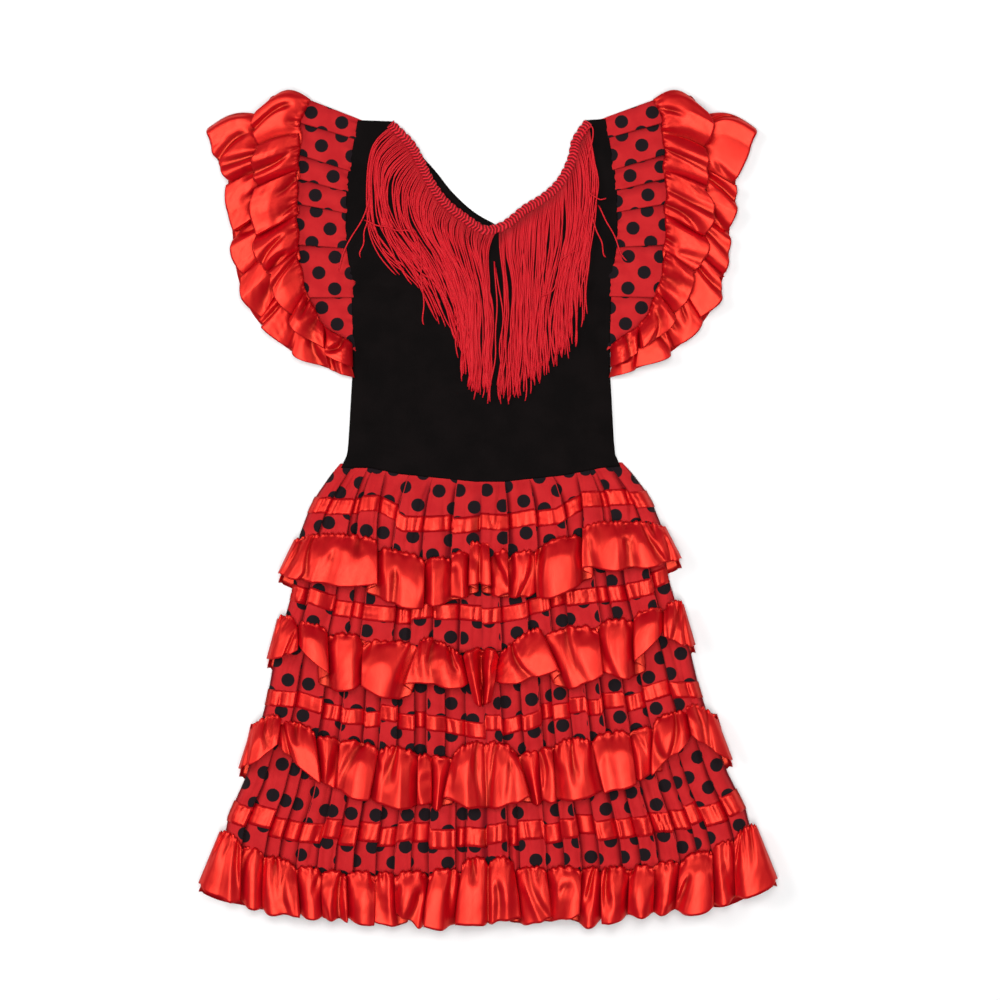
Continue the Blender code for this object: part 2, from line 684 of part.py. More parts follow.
def flare_columns(flares, length, step, widest):
    """(share along the armhole, rise) of a sleeve piece's columns, with a drop at each edge."""
    columns = []
    shift = RISER / length
    for index, flare in enumerate(flares):
        last = index == len(flares) - 1
        following = flare._replace(share=1.0, over=0) if last else flares[index + 1]
        start = flare.share + (shift if flare.over < 0 else 0)
        end = following.share - (shift if following.over > 0 else 0)
        rises = (step if flare.over > 0 else 0, step if following.over < 0 else 0)
        parts = 1 + int((end - start) * length / widest)
        for part in range(parts + 1):
            share = part / parts
            rise = mix(*rises, share) + flare.puff * math.sin(math.pi * share)
            columns.append((mix(start, end, share), rise))
    return columns


def sleeve_rows(side, inner, outer, columns, height, bulge=0.0):
    """Points of a sleeve piece between two curves; its shoulder end may bulge upwards."""
    rows = []
    for share in SLEEVE_SHARES:
        row = []
        for place, rise in columns:
            out, y = along(inner, place).lerp(along(outer, place), share)
            y += bulge * math.sin(math.pi * share) * (1.0 - smooth(place / 0.2))
            row.append(Vector((MIDDLE[0].x + side * out, y, height(share, rise))))
        rows.append(row)
    return rows


def make_sleeve(side, name, spots, satin):
    """One cap sleeve: yoke, two ruffles and the panel between them, front and back."""
    seam_z = BODICE_FRONT_Z + YOKE_RISE
    back_z = BODICE_BACK_Z + BACK_YOKE_RISE

    def yoke(share, rise):
        return BODICE_FRONT_Z + YOKE_RISE * smooth(share / YOKE_RISEN) + rise * mix(YOKE_GATHER, 1.0, share)

    def upper(share, rise):
        lift = UPPER_LIFT * smooth(share / RUFFLE_LIFTED)
        lift += rise * mix(GATHERED, 1.0, smooth(share / RUFFLE_SPREAD))
        return seam_z + SLEEVE_PLEAT + STEP + lift

    def under(share, rise):
        return seam_z

    def lower(share, rise):
        drop = LOWER_DROP * smooth((share - LOWER_START) / (1.0 - LOWER_START))
        return seam_z + STEP - drop + rise * smooth(share)

    def back_yoke(share, rise):
        return mix(BODICE_BACK_Z, back_z, smooth(share / BACK_YOKE_RISEN))

    def back_upper(share, rise):
        return BODICE_BACK_Z

    def back_lower(share, rise):
        drop = smooth((share - BACK_LOWER_START) / (1.0 - BACK_LOWER_START))
        return mix(back_z, BODICE_BACK_Z, drop)

    armhole = armhole_curve(side)
    beyond_yoke = [(out + EDGE_SHIFT, y) for out, y in YOKE_SEAM]
    beyond_lower = [(out + EDGE_SHIFT, y) for out, y in LOWER_SEAM]
    between = [Vector(upper).lerp(Vector(lower), 0.5) for upper, lower in zip(YOKE_SEAM, LOWER_SEAM)]
    Piece = namedtuple("Piece", "part inner outer flares step height bulge material")
    pieces = (
        Piece("yoke", armhole, YOKE_SEAM, YOKE_PLEATS, SLEEVE_PLEAT, yoke, 0, spots),
        Piece("ruffle_upper", YOKE_SEAM, UPPER_HEM, UPPER_FLARES, SLEEVE_STEP, upper, UPPER_BULGE, satin),
        Piece("under_panel", beyond_yoke, LOWER_SEAM, PLAIN_FLARE, 0, under, 0, spots),
        Piece("ruffle_lower", LOWER_SEAM, LOWER_HEM, LOWER_FLARES, LOWER_STEP, lower, LOWER_BULGE, satin),
        Piece("back_yoke", armhole, LOWER_SEAM, PLAIN_FLARE, 0, back_yoke, 0, spots),
        Piece("back_ruffle_upper", between, UPPER_HEM, PLAIN_FLARE, 0, back_upper, UPPER_BULGE, satin),
        Piece("back_ruffle_lower", beyond_lower, LOWER_HEM, PLAIN_FLARE, 0, back_lower, LOWER_BULGE, satin),
    )
    for piece in pieces:
        length = sum(math.dist(a, b) for a, b in zip(piece.outer, piece.outer[1:]))
        widest = WIDEST[piece.flares]
        columns = flare_columns(piece.flares, length, piece.step, widest)
        rows = sleeve_rows(side, piece.inner, piece.outer, columns, piece.height, piece.bulge)
        cloth(f"sleeve_{name}_{piece.part}", rows, piece.material)


# ---------------------------------------------------------------- braid and fringe
BRAID_COLUMNS = 30
PROBE = 0.01               # share of a curve either side of a point, for its direction
BOTTOM_SHARE, BOTTOM_HALF = 0.52, 0.008     # the V's foot along the neckline
FRINGE_START = 0.02
BRAID_SECTION = ((0.0, 0.0), (0.0, 0.55), (0.28, 1.0), (0.72, 1.0), (1.0, 0.55), (1.0, 0.0))


def neck_frame(share):
    """A point of the front neckline, and the direction away from the opening."""
    run = direction(FRONT_NECK, share)
    return along(FRONT_NECK, share), Vector((run.y, -run.x))


def direction(points, share):
    """Unit direction of the smooth curve through (x, y) points."""
    ahead, behind = min(share + PROBE, 1.0), max(share - PROBE, 0.0)
    return (along(points, ahead) - along(points, behind)).normalized()


def trim_base(x, y):
    """Upper side of the bodice front, plus the clearance, under a trim."""
    return bodice_height(x, y, lambda _: BODICE_FRONT_Z, BODICE_PUFF) + WALL / 2 + CLEAR


def make_braid(cord):
    """The gimp braid: a domed section run along the front neckline."""
    bm = bmesh.new()
    rings = []
    for index in range(BRAID_COLUMNS + 1):
        here, away = neck_frame(index / BRAID_COLUMNS)
        ring = []
        for across, up in BRAID_SECTION:
            place = here + away * (across * BRAID_WIDTH - BRAID_EDGE)
            z = trim_base(*place) + up * BRAID_HEIGHT
            ring.append(bm.verts.new(Vector((*place, z)) * MM))
        rings.append([bm.edges.new((ring[i], ring[i - 1])) for i in range(len(ring))])
    for before, after in zip(rings, rings[1:]):
        bmesh.ops.bridge_loops(bm, edges=before + after)
    bmesh.ops.holes_fill(bm, edges=bm.edges[:], sides=len(BRAID_SECTION))
    bmesh.ops.triangulate(bm, faces=bm.faces[:])
    finish("neck_braid", bm, bpy.data.meshes.new("neck_braid"), cord)


def guide_at(guides, share):
    """The three points of the cord that hangs at a share of half the neckline."""
    for before, after in zip(guides, guides[1:]):
        if share <= after.share:
            part = (share - before.share) / (after.share - before.share)
            values = [mix(a, b, part) for a, b in zip(before[1:], after[1:])]
            return [Vector(values[index:index + 2]) for index in (0, 2, 4)]
    return [Vector(guides[-1][index:index + 2]) for index in (1, 3, 5)]


def cord_stations(root, away, guides, share, index):
    """Plan position, run and height at stations down one cord, in one of three layers."""
    knee, calf, end = guide_at(guides, share)
    end = end + (end - calf).normalized() * CORD_UNEVEN[index % len(CORD_UNEVEN)]
    bend = root + away * ROOT_REACH
    curve = [tuple(bend), tuple(knee), tuple(calf), tuple(end)]
    layer = -index % CORD_LAYERS
    stations = []
    for place in CORD_STATIONS:
        here = along(curve, place)
        run = direction(curve, place)
        if place == 0.0:
            run = (run + away).normalized()
        stations.append((here, run, trim_base(*here) + layer * (CORD_THICK + CLEAR)))
    return stations


def joined(bm, before, after, skipped=()):
    """Faces between two rings of four vertices, but for the skipped corners."""
    for corner in range(4):
        if corner not in skipped:
            following = (corner + 1) % 4
            bm.faces.new((before[corner], before[following], after[following], after[corner]))


def make_fringe(name, start, end, guides, cord):
    """Half the fringe: a narrow strip along the braid, drawn out into hanging cords."""
    bm = bmesh.new()
    inner = BRAID_WIDTH - BRAID_EDGE + CLEAR
    outer = inner + STRIP_WIDTH
    turn = 1 if end > start else -1
    strip = []
    for index in range(2 * CORDS_PER_SIDE):
        here, away = neck_frame(mix(start, end, index / (2 * CORDS_PER_SIDE - 1)))
        ring = []
        for offset, up in ((inner, 0), (inner, 1), (outer, 1), (outer, 0)):
            place = here + away * offset
            ring.append(bm.verts.new(Vector((*place, trim_base(*place) + up * CORD_THICK)) * MM))
        strip.append(ring)
    bm.faces.new(strip[0])
    bm.faces.new(strip[-1])
    for index, (before, after) in enumerate(zip(strip, strip[1:])):
        has_cord = index % 2 == 0
        joined(bm, before, after, (2,) if has_cord else ())
        if not has_cord:
            continue
        share = index / (2 * CORDS_PER_SIDE - 2)
        here, away = neck_frame(mix(start, end, (index + 0.5) / (2 * CORDS_PER_SIDE - 1)))
        ring = [before[3], before[2], after[2], after[3]]
        for place, run, base in cord_stations(here + away * outer, away, guides, share, index // 2):
            across = Vector((-run.y, run.x)) * (turn * CORD_WIDTH / 2)
            following = []
            for wide, up in ((-1, 0), (-1, 1), (1, 1), (1, 0)):
                corner = place + across * wide
                following.append(bm.verts.new(Vector((*corner, base + up * CORD_THICK)) * MM))
            joined(bm, ring, following)
            ring = following
        bm.faces.new(ring)
    bmesh.ops.triangulate(bm, faces=bm.faces[:])
    finish(name, bm, bpy.data.meshes.new(name), cord)


# ---------------------------------------------------------------- whole dress
def main():
    """Clear the scene and make each piece of the dress."""
    for old in list(bpy.data.objects):
        bpy.data.objects.remove(old)
    knit = dressed("black_knit", (0.012, 0.010, 0.011), 0.85)
    spots = dressed("spotted_cotton", (0.62, 0.02, 0.03), 0.8)
    satin = dressed("red_satin", (0.78, 0.03, 0.02), 0.35)
    cord = dressed("red_cord", (0.60, 0.02, 0.03), 0.6)
    make_bodice(knit)
    make_skirt(spots, satin)
    for side, name in ((-1, "left"), (1, "right")):
        make_sleeve(side, name, spots, satin)
    make_braid(cord)
    make_fringe("fringe_left", FRINGE_START, BOTTOM_SHARE - BOTTOM_HALF, LEFT_CORDS, cord)
    make_fringe("fringe_right", 1.0 - FRINGE_START, BOTTOM_SHARE + BOTTOM_HALF, RIGHT_CORDS, cord)


main()
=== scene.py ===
"""A child's flamenco dress, laid flat on its back: its cloth, trims, floor, lights and camera.

Lengths are in millimetres until a piece's mesh is made, which is in metres. As in the
dress itself, y is the place up the dress and out is the distance outwards from its middle
line. A piece of cloth is a grid of points, row by row from its sewn edge to its free one,
with every fold laid as the cloth goes: over its neighbour, back under itself, and on.
"""
from __future__ import annotations

import logging
import math
import random
from collections import namedtuple
from dataclasses import dataclass
from enum import Enum, IntEnum
from typing import Callable, Iterator, Sequence

import bmesh
import bpy
import numpy as np
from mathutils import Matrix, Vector


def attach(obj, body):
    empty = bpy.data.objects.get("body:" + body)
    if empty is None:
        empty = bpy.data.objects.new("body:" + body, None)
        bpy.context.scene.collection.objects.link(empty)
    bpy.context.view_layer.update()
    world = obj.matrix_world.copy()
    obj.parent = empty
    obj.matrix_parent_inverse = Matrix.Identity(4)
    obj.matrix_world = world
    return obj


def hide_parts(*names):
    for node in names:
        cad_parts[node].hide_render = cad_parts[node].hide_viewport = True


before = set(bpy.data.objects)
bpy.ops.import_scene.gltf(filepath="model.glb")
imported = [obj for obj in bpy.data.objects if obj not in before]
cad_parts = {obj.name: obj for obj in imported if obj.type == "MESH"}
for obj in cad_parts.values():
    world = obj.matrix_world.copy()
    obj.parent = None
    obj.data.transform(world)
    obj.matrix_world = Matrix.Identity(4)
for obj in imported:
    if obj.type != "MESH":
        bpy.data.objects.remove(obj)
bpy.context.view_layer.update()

LOG = logging.getLogger("dress")
MM = 0.001
Numbers = np.ndarray | float
Range = tuple[float, float]
Colour = tuple[float, float, float]


class Side(Enum):
    """Which half of the dress, as seen from above."""

    LEFT = -1
    RIGHT = 1


class Face(Enum):
    """The front of the dress, which lies on top, or its back, which lies on the floor."""

    FRONT = 1
    BACK = -1


class Held(Enum):
    """How a piece of cloth is held."""

    LAID = "laid"
    FOLDED = "folded"
    GATHERED = "gathered"


class Seed(IntEnum):
    """Where each kind of unevenness takes its random numbers; a tier adds its own number."""

    RUFFLE_LOBES = 10
    RUFFLE_GATHERS = 20
    PANEL_FOOT = 40
    PANEL_HEAD = 50
    RIBBON_LAID = 60
    RIBBON_WRINKLES = 65
    RUFFLE_WRINKLES = 70
    SIDE_CREASES = 80
    PANEL_WRINKLES = 90
    SLEEVES = 100
    PANEL_LOBES = 130
    LEANING = 160
    SIDE_LOBES = 180


# ---------------------------------------------------------------- heights and folds of the dress
WALL, CLEAR = 1.0, 0.3                     # a wall of cloth, and the gap to the next one
STEP = WALL + CLEAR
LEAST_Z = 0.35                             # least height of a ruffle over the floor
BODICE_BACK_Z, BODICE_FRONT_Z = 0.5, 2.0
BODICE_PUFF, PUFF_LENGTH = 2.0, 240.0      # height of the bodice front's middle, and its length
SLACK = 0.25                               # height of the bodice front's soft waves
SKIRT_BACK_Z, SKIRT_FRONT_Z = 4.4, 6.0
SKIRT_RAMP = (22.0, -20.0)                 # where layers climb from the bodice's level to the skirt's
RAISE_FADE = 75.0                          # how far out the right half has its full rise
SEAM_ALLOWANCE, SEAM_DROP = 3.5, 0.8       # what of a panel or yoke lies under the bodice, and how low
HIDDEN_GAP, HEADER = 1.2, 2.5              # where a panel or back ruffle starts, below or over its seam
SOFT_PLEAT_DEPTH, BACK_PLEAT_DEPTH, WAIST_PLEAT = 4.6, 0.7, 0.3
PLEAT_LEAST, PLEAT_PUFF = 12.0, 1.9        # least width of a parted pleat, and a pleat's roundness
TUCK_OPENED = 0.15                         # share of a panel down which its tucks open
BODICE_CLEARED = (0.06, 0.08)              # start and length, as shares of the waist panel, of its
SEAM_RISEN = (0.05, 0.07)                  # pleats' opening past the bodice's edge, and of its rise
PARTED_AT = (0.45, 0.55, 0.40, 0.60)       # where wide pleats are parted, in turn
PLEAT_WAVE, PLEAT_WAVE_APART = 0.5, 11.0   # how pleats differ in height, and how soon
PANEL_CUT_START = -5.0                     # where a panel's spots start, up from its foot
PANEL_CUT_SHIFT, TIER_CUT_SHIFT = 6.4, 3.1     # how they move in every second tier, and in each
TURNED_UNDER, TURNED_WAVE = 15.0, 5.5      # cloth hidden between pleats, and how it differs
PANEL_WRINKLE, RUFFLE_WRINKLE, SLEEVE_WRINKLE = 0.12, 0.2, 0.16
SIDE_WIDTH, SIDE_FADE = 30.0, 10.0         # what of a tier is creased by its side
PETAL_STEP, CENTRE_RISE, BACK_WAVE = 4.5, 0.6, 1.6
RUFFLE_CUT = 36.0                          # length of a ruffle's flat cloth
RUFFLE_BASE, RUFFLE_TOP, SOFT_LIFT, SOFT_HEM_DROP = 7.2, 24.0, 1.0, 2.5
RUFFLE_LIFTED, RUFFLE_SPREAD, GATHERED = 0.4, 0.7, 0.2
TUCK_SEWN, TUCK_SPREAD = 0.15, 0.8         # a tuck's share at the seam, and where it is whole
PUCKER, PUCKERED = 1.1, 0.2                # how the gathers move a ruffle's seam, and how far down
LOBES_APART = ((15.0, 38.0), (15.0, 40.0), (13.0, 34.0), (9.0, 25.0))
HEM_WAVE = (0.5, 0.5, 0.55, 0.8)           # how far a hem hangs lower where a lobe stands up
BACK_PEEK, BACK_PEEK_WAVE = 7.5, 1.5       # how far a back ruffle's ends hang below the front one
PEEKING = (0.68, 0.14)                     # start and length of those ends, as shares of its width
LEAN_SLOPE, LEAN_MOST, LEAN_LIFT = 0.12, 3.0, 2.6      # how petals tilt sideways and lift their hems
FOLD_HALF = 0.8                            # half the height between front and back in a side fold
SIDE_ROLL = ((0.0, 1.0), (0.1, 0.8), (0.35, 0.55), (0.9, 0.25), (2.4, 0.0))
POCKET, PLEAT_POCKET = 9.0, 5.5            # how far a petal or pleat is pressed down by its neighbour
HOLLOW_REACH, PLEATED_REACH = 7, 12        # lines of points to each side: gathered and pleated cloth
HOLLOW_DEPTH = 1.7                         # how much lower than these the deepest shade is
RIBBON_LIFT, RIBBON_WRINKLE = 0.50, 0.55   # how far the ribbon lies over its panel
RIBBON_SHIFT, RIBBON_TILT = 3.4, 2.2       # how unevenly it is laid from pleat to pleat

# ---------------------------------------------------------------- plan of the dress
Middle = namedtuple("Middle", "y x raised")
MIDDLE = (
    Middle(311, -5.0, 1), Middle(34, -5.5, 1), Middle(-20, -6.5, 10), Middle(-50, -6.5, 12),
    Middle(-120, -5.5, 11), Middle(-190, -2.5, 7), Middle(-260, 0, 5), Middle(-330, 0, 3),
)
BODICE_SIDE = (
    (311, 99), (261, 108), (215, 109), (180, 104), (142, 103), (107, 103), (54, 106),
    (43, 107), (32, 112),
)
SKIRT_SIDE = (
    (34, 111), (22, 121), (8, 131), (-6, 138), (-22, 144), (-46, 147), (-66, 150), (-91, 157),
    (-122, 166), (-150, 172), (-170, 178), (-190, 184), (-214, 192), (-243, 206), (-270, 212),
)
WAIST = ((-118, 32), (-95, 32), (-70, 27), (-10, 21), (12, 21), (60, 26), (90, 32), (105, 33))
FRONT_NECK = (
    (-76, 309), (-60, 293), (-51, 277), (-43, 261), (-32, 246), (-17, 234), (-5, 226), (2, 225),
    (13, 229), (28, 241), (44, 251), (56, 263), (64, 279), (68, 295), (78, 310),
)
BACK_NECK = (
    (-76, 309), (-54, 283), (-40, 267), (-29, 253), (-13, 238), (2, 229), (12, 226), (35, 238),
    (51, 248), (62, 262), (69, 278), (74, 297), (78, 310),
)
STRAP_OUTER = ((-104, 310), (94, 311))

# A row is one fold of half a panel or ruffle, from the side towards the middle: its outer
# edge's distances out at the seam and the hem. over is 1 where it lies over its outer
# neighbour, -1 where it lies under it. seam and hem are a petal's y at its outer and its
# inner edge, and puff is how round it stands up.
Pleat = namedtuple("Pleat", "top low over")
Petal = namedtuple("Petal", "top low over seam_out seam_in hem_out hem_in puff")
Tier = namedtuple("Tier", "seam ribbon ribbon_height settled pleats petals")
TIERS = (
    Tier(
        seam=((0, -42), (30, -43), (60, -40), (90, -36), (120, -31), (150, -28)),
        ribbon=((0, -3), (22, -4), (60, -4), (80, 7), (124, 10)),
        ribbon_height=13, settled=0.32,
        pleats=(
            Pleat(102, 132, -1), Pleat(90, 108, -1), Pleat(76, 83, -1),
            Pleat(56, 69, 1), Pleat(37, 45, 1), Pleat(18, 22, 1),
        ),
        petals=(
            Petal(148, 161, 0, -25, -25, -52, -58, 3.0),
            Petal(82, 82, -1, -34, -42, -70, -79, 3.0),
            Petal(44, 46, -1, -43, -43, -74, -73, 0.5),
            Petal(22, 22, 1, -36, -37, -70, -69, 2.0),
            Petal(7, 8, 1, -27, -27, -59, -58, 1.5),
        ),
    ),
    Tier(
        seam=((0, -115), (30, -114), (60, -112), (90, -109), (120, -104), (160, -97)),
        ribbon=((0, -76), (50, -78), (90, -76), (120, -70), (150, -60)),
        ribbon_height=13, settled=0.40,
        pleats=(
            Pleat(112, 124, -1), Pleat(88, 96, 1), Pleat(67, 72, -1),
            Pleat(52, 56, 1), Pleat(35, 38, 1), Pleat(14, 16, 1),
        ),
        petals=(
            Petal(162, 171, 0, -88, -92, -120, -112, 3.0),
            Petal(146, 146, -1, -93, -98, -106, -128, 3.0),
            Petal(122, 122, -1, -103, -105, -143, -139, 2.0),
            Petal(93, 95, 1, -108, -111, -140, -152, 4.0),
            Petal(47, 60, 1, -103, -120, -136, -138, 4.0),
            Petal(14, 6, 1, -117, -112, -152, -156, 1.5),
        ),
    ),
    Tier(
        seam=((0, -199), (40, -199), (80, -196), (120, -189), (155, -181), (186, -175)),
        ribbon=((0, -168), (60, -161), (110, -158), (150, -148)),
        ribbon_height=13, settled=0.40,
        pleats=(
            Pleat(139, 158, -1), Pleat(120, 135, -1), Pleat(104, 116, 1), Pleat(77, 84, 1),
            Pleat(54, 58, -1), Pleat(42, 46, 1), Pleat(12, 14, 1),
        ),
        petals=(
            Petal(186, 197, 0, -176, -166, -207, -186, 3.0),
            Petal(161, 165, -1, -172, -178, -186, -215, 3.0),
            Petal(135, 132, -1, -184, -186, -216, -222, 1.5),
            Petal(115, 118, 1, -187, -192, -222, -230, 3.5),
            Petal(85, 94, -1, -193, -196, -230, -236, 3.0),
            Petal(53, 54, 1, -196, -197, -234, -234, 1.0),
            Petal(43, 45, -1, -199, -200, -236, -237, 0.5),
            Petal(25, 33, 1, -195, -188, -228, -238, 4.0),
        ),
    ),
    Tier(
        seam=((0, -293), (60, -294), (110, -293), (150, -288), (180, -279), (214, -263)),
        ribbon=((0, -254), (100, -252), (150, -246), (180, -238), (200, -232)),
        ribbon_height=16, settled=0.40,
        pleats=(
            Pleat(166, 198, -1), Pleat(150, 180, -1), Pleat(128, 152, 1), Pleat(106, 124, -1),
            Pleat(80, 91, -1), Pleat(64, 74, 1), Pleat(42, 46, 1), Pleat(25, 27, -1),
            Pleat(14, 16, 1),
        ),
        petals=(
            Petal(214, 231, 0, -258, -268, -299, -312, 3.0),
            Petal(196, 198, -1, -270, -277, -312, -318, 1.5),
            Petal(178, 178, 1, -279, -286, -318, -322, 3.5),
            Petal(153, 150, -1, -288, -290, -322, -324, 2.0),
            Petal(132, 130, 1, -291, -292, -324, -325, 2.0),
            Petal(113, 112, -1, -293, -293, -325, -328, 3.5),
            Petal(90, 91, -1, -293, -293, -329, -332, 1.0),
            Petal(74, 72, 1, -293, -293, -320, -331, 3.5),
            Petal(46, 50, 1, -291, -291, -326, -331, 3.0),
            Petal(20, 25, 1, -282, -282, -325, -326, 4.0),
        ),
    ),
)
Flap = namedtuple("Flap", "apart width height hollow_width hollow_depth")
CENTRE_FLAP = Flap((9.0, 2.6), (3.6, 2.0), 3.6, (5.0, 2.0), 5.0)    # widths at the seam and the hem
FLAP_TIER, FLAP_OPENED, FLAP_CLOSED = 1, 0.15, (0.55, 0.35)
BACK_PLEAT_SHARES = (0.70, 0.32)
BACK_PETAL_SHARES = (1.0, 0.62, 0.24)
BACK_RUFFLE_LENGTHS = (32, 38, 38, 35)
BACK_RIBBON_DROPS = (12, 0, 0, 0)
BACK_OVERS = (0, 1, -1)
BACK_PUFF, BACK_SETTLED, BACK_WAVED = 0.3, 0.3, 0.5

# Sleeve curves from the shoulder fold to the underarm, as (out, y).
YOKE_SEAM = (
    (138, 326), (145, 308), (146, 290), (148, 246), (146, 194), (138, 165), (127, 146), (109, 131),
)
UPPER_HEM = (
    (174, 320), (180, 306), (178, 272), (180, 251), (180, 212), (163, 173), (146, 142), (107, 112),
)
LOWER_SEAM = (
    (178, 314), (177, 300), (173, 272), (167, 240), (164, 205), (152, 168), (132, 140), (111, 123),
)
LOWER_HEM = (
    (219, 303), (206, 275), (202, 252), (198, 226), (192, 184), (178, 151), (147, 122), (106, 104),
)
ARMHOLE_END = 6 / 9                        # the armhole's share of the bodice's side
Flare = namedtuple("Flare", "share over puff")
YOKE_PLEATS = tuple(Flare(share, -1, 0) for share in (0.0, 0.09, 0.22, 0.31, 0.40, 0.55, 0.76))
UPPER_FLARES = (
    Flare(0.00, 0, 2.0), Flare(0.15, 1, 2.5), Flare(0.29, 1, 2.5), Flare(0.44, -1, 2.0),
    Flare(0.58, 1, 3.0), Flare(0.74, 1, 2.5), Flare(0.88, -1, 1.5),
)
LOWER_FLARES = (
    Flare(0.00, 0, 2.0), Flare(0.20, 1, 2.0), Flare(0.35, -1, 2.0), Flare(0.50, 1, 2.0),
    Flare(0.64, -1, 2.0), Flare(0.78, 1, 2.0), Flare(0.90, -1, 1.0),
)
PLAIN_FLARE = (Flare(0.0, 0, 0.0),)
YOKE_PLEAT_DEPTH, YOKE_RISE, BACK_YOKE_RISE = 4.4, 2.0, 1.7
YOKE_RISEN, BACK_YOKE_RISEN, YOKE_GATHER = 0.8, 0.6, 0.4
YOKE_CLEARED = (0.04, 0.08)                # start and length of its rise from under the bodice
BACK_LOWER_START, LOWER_START = 0.7, 0.3
UPPER_BULGE, LOWER_BULGE = 10.0, 6.0       # how far a ruffle's shoulder end stands up
UPPER_LIFT, LOWER_DROP, LOWER_STEP = 1.2, 1.6, 2.0
EDGE_SHIFT, SLEEVE_STEP = 2.0, 4.0
ON_YOKE = (-1.5, -0.5)                     # how far in from the yoke's edge its ruffle is sewn
PUCKER_RISE, SEAM_WAVE = 1.2, 0.9          # how the gathers of a sleeve ruffle lift and move its seam
LOBE, UNDERARM_GAP = 7.0, 4.5              # how far a ruffle's folds stand out, and its underarm end in
LOBE_SHARES = np.array([0.3, 1.2, 0.7, 1.3, 0.5, 1.0, 0.6])    # of LOBE, from fold to fold

# ---------------------------------------------------------------- braid and fringe
BRAID_WIDTH, BRAID_HEIGHT, BRAID_EDGE, BRAID_LIFT = 8.0, 2.2, 1.0, 1.3
TRIM_Z = 0.5                               # where a trim lies, over the middle of the bodice front
BOTTOM_SHARE, BOTTOM_HALF, FRINGE_START = 0.52, 0.004, 0.01
ROOT_SHADED = 19.0                         # how far from the braid a cord is shaded
CORD_SPREAD = (1.1, 3.2, 4.6, 5.0, 5.2)    # how unevenly cords lie at each point of their guides

# Guides for half the fringe: the share of the neckline, then the points that a cord passes.
Guide = namedtuple("Guide", "share thigh knee calf ankle end")
LEFT_CORDS = (
    Guide(0.00, (-92, 289), (-94, 254), (-91, 225), (-82, 206), (-67, 192)),
    Guide(0.15, (-84, 275), (-86, 247), (-79, 220), (-61, 197), (-40, 164)),
    Guide(0.30, (-69, 259), (-70, 238), (-62, 218), (-43, 188), (-22, 136)),
    Guide(0.45, (-54, 243), (-50, 223), (-34, 197), (-22, 163), (-18, 120)),
    Guide(0.60, (-43, 231), (-38, 214), (-23, 188), (-16, 151), (-16, 104)),
    Guide(0.75, (-26, 219), (-20, 198), (-10, 170), (-9, 134), (-10, 95)),
    Guide(0.88, (-11, 211), (-6, 188), (-2, 161), (-2, 129), (-2, 94)),
    Guide(1.00, (1, 206), (2, 174), (5, 151), (3, 126), (2, 99)),
)
RIGHT_CORDS = (
    Guide(0.00, (83, 289), (86, 266), (83, 242), (77, 205), (73, 164)),
    Guide(0.15, (77, 274), (78, 247), (74, 215), (66, 178), (66, 130)),
    Guide(0.30, (70, 260), (70, 231), (65, 198), (57, 161), (58, 123)),
    Guide(0.45, (58, 243), (58, 215), (51, 183), (47, 151), (49, 114)),
    Guide(0.60, (44, 230), (42, 198), (40, 166), (38, 136), (39, 105)),
    Guide(0.75, (30, 215), (30, 188), (29, 161), (28, 130), (28, 96)),
    Guide(0.88, (18, 206), (21, 179), (19, 151), (18, 126), (18, 90)),
    Guide(1.00, (10, 202), (14, 174), (16, 147), (14, 122), (13, 91)),
)
LOOSE_CORDS = (
    ((-93, 262), (-97, 238), (-109, 216), (-120, 190)),
    ((-94, 242), (-97, 227), (-102, 200)),
    ((-99, 230), (-86, 225), (-62, 220)),
    ((-58, 221), (-54, 202), (-51, 146)),
    ((5, 197), (7, 158), (5, 118), (1, 85)),
    ((6, 192), (12, 150), (9, 122), (14, 90)),
    ((75, 298), (83, 304), (82, 286), (77, 270)),
    ((80, 261), (82, 250), (94, 246)),
    ((88, 242), (93, 232), (110, 197)),
    ((82, 234), (87, 221), (94, 200)),
    ((82, 218), (79, 197), (73, 164)),
    ((74, 208), (58, 197), (54, 178), (43, 168)),
)


# ---------------------------------------------------------------- arithmetic
def mix(start: Numbers, end: Numbers, share: Numbers) -> np.ndarray:
    """Go part of the way between two values: share 0 is the start, share 1 the end."""
    return start + (end - start) * share


def smooth(share: Numbers) -> np.ndarray:
    """Ease a share in and out; it is held between 0 and 1."""
    held = np.clip(share, 0.0, 1.0)
    return held * held * (3.0 - 2.0 * held)


def look_up(rows: Sequence[Sequence[float]], key: Numbers) -> np.ndarray:
    """Read the second column of a table, in rising or falling order, at keys in its first."""
    ordered = sorted((row[0], row[1]) for row in rows)
    return np.interp(key, [row[0] for row in ordered], [row[1] for row in ordered])


def ramp(share: Numbers, start: float, length: float) -> np.ndarray:
    """Ease from 0 to 1 over one stretch of a share, which has a start and a length."""
    return smooth((share - start) / length)


def stacked(*parts: Numbers) -> np.ndarray:
    """Join coordinates into a grid of points, each one's coordinates last."""
    return np.stack(np.broadcast_arrays(*parts), axis=-1)


def middle_at(y: Numbers) -> np.ndarray:
    """Find the middle line's x at places up the dress."""
    return look_up([(row.y, row.x) for row in MIDDLE], y)


def placed(side: np.ndarray, out: np.ndarray, y: np.ndarray) -> tuple[np.ndarray, np.ndarray]:
    """Place points on plan, from their side (-1 or 1), distance out and y before the right half's rise."""
    raised = look_up([(row.y, row.raised) for row in MIDDLE], y) * smooth(out / RAISE_FADE)
    return middle_at(y) + side * out, y + np.where(side > 0, raised, 0.0)


def risen(y: np.ndarray, low: float, high: float) -> np.ndarray:
    """Height of a layer that climbs from low, on the bodice, to high, on the skirt."""
    start, end = SKIRT_RAMP
    return mix(low, high, smooth((start - y) / (start - end)))


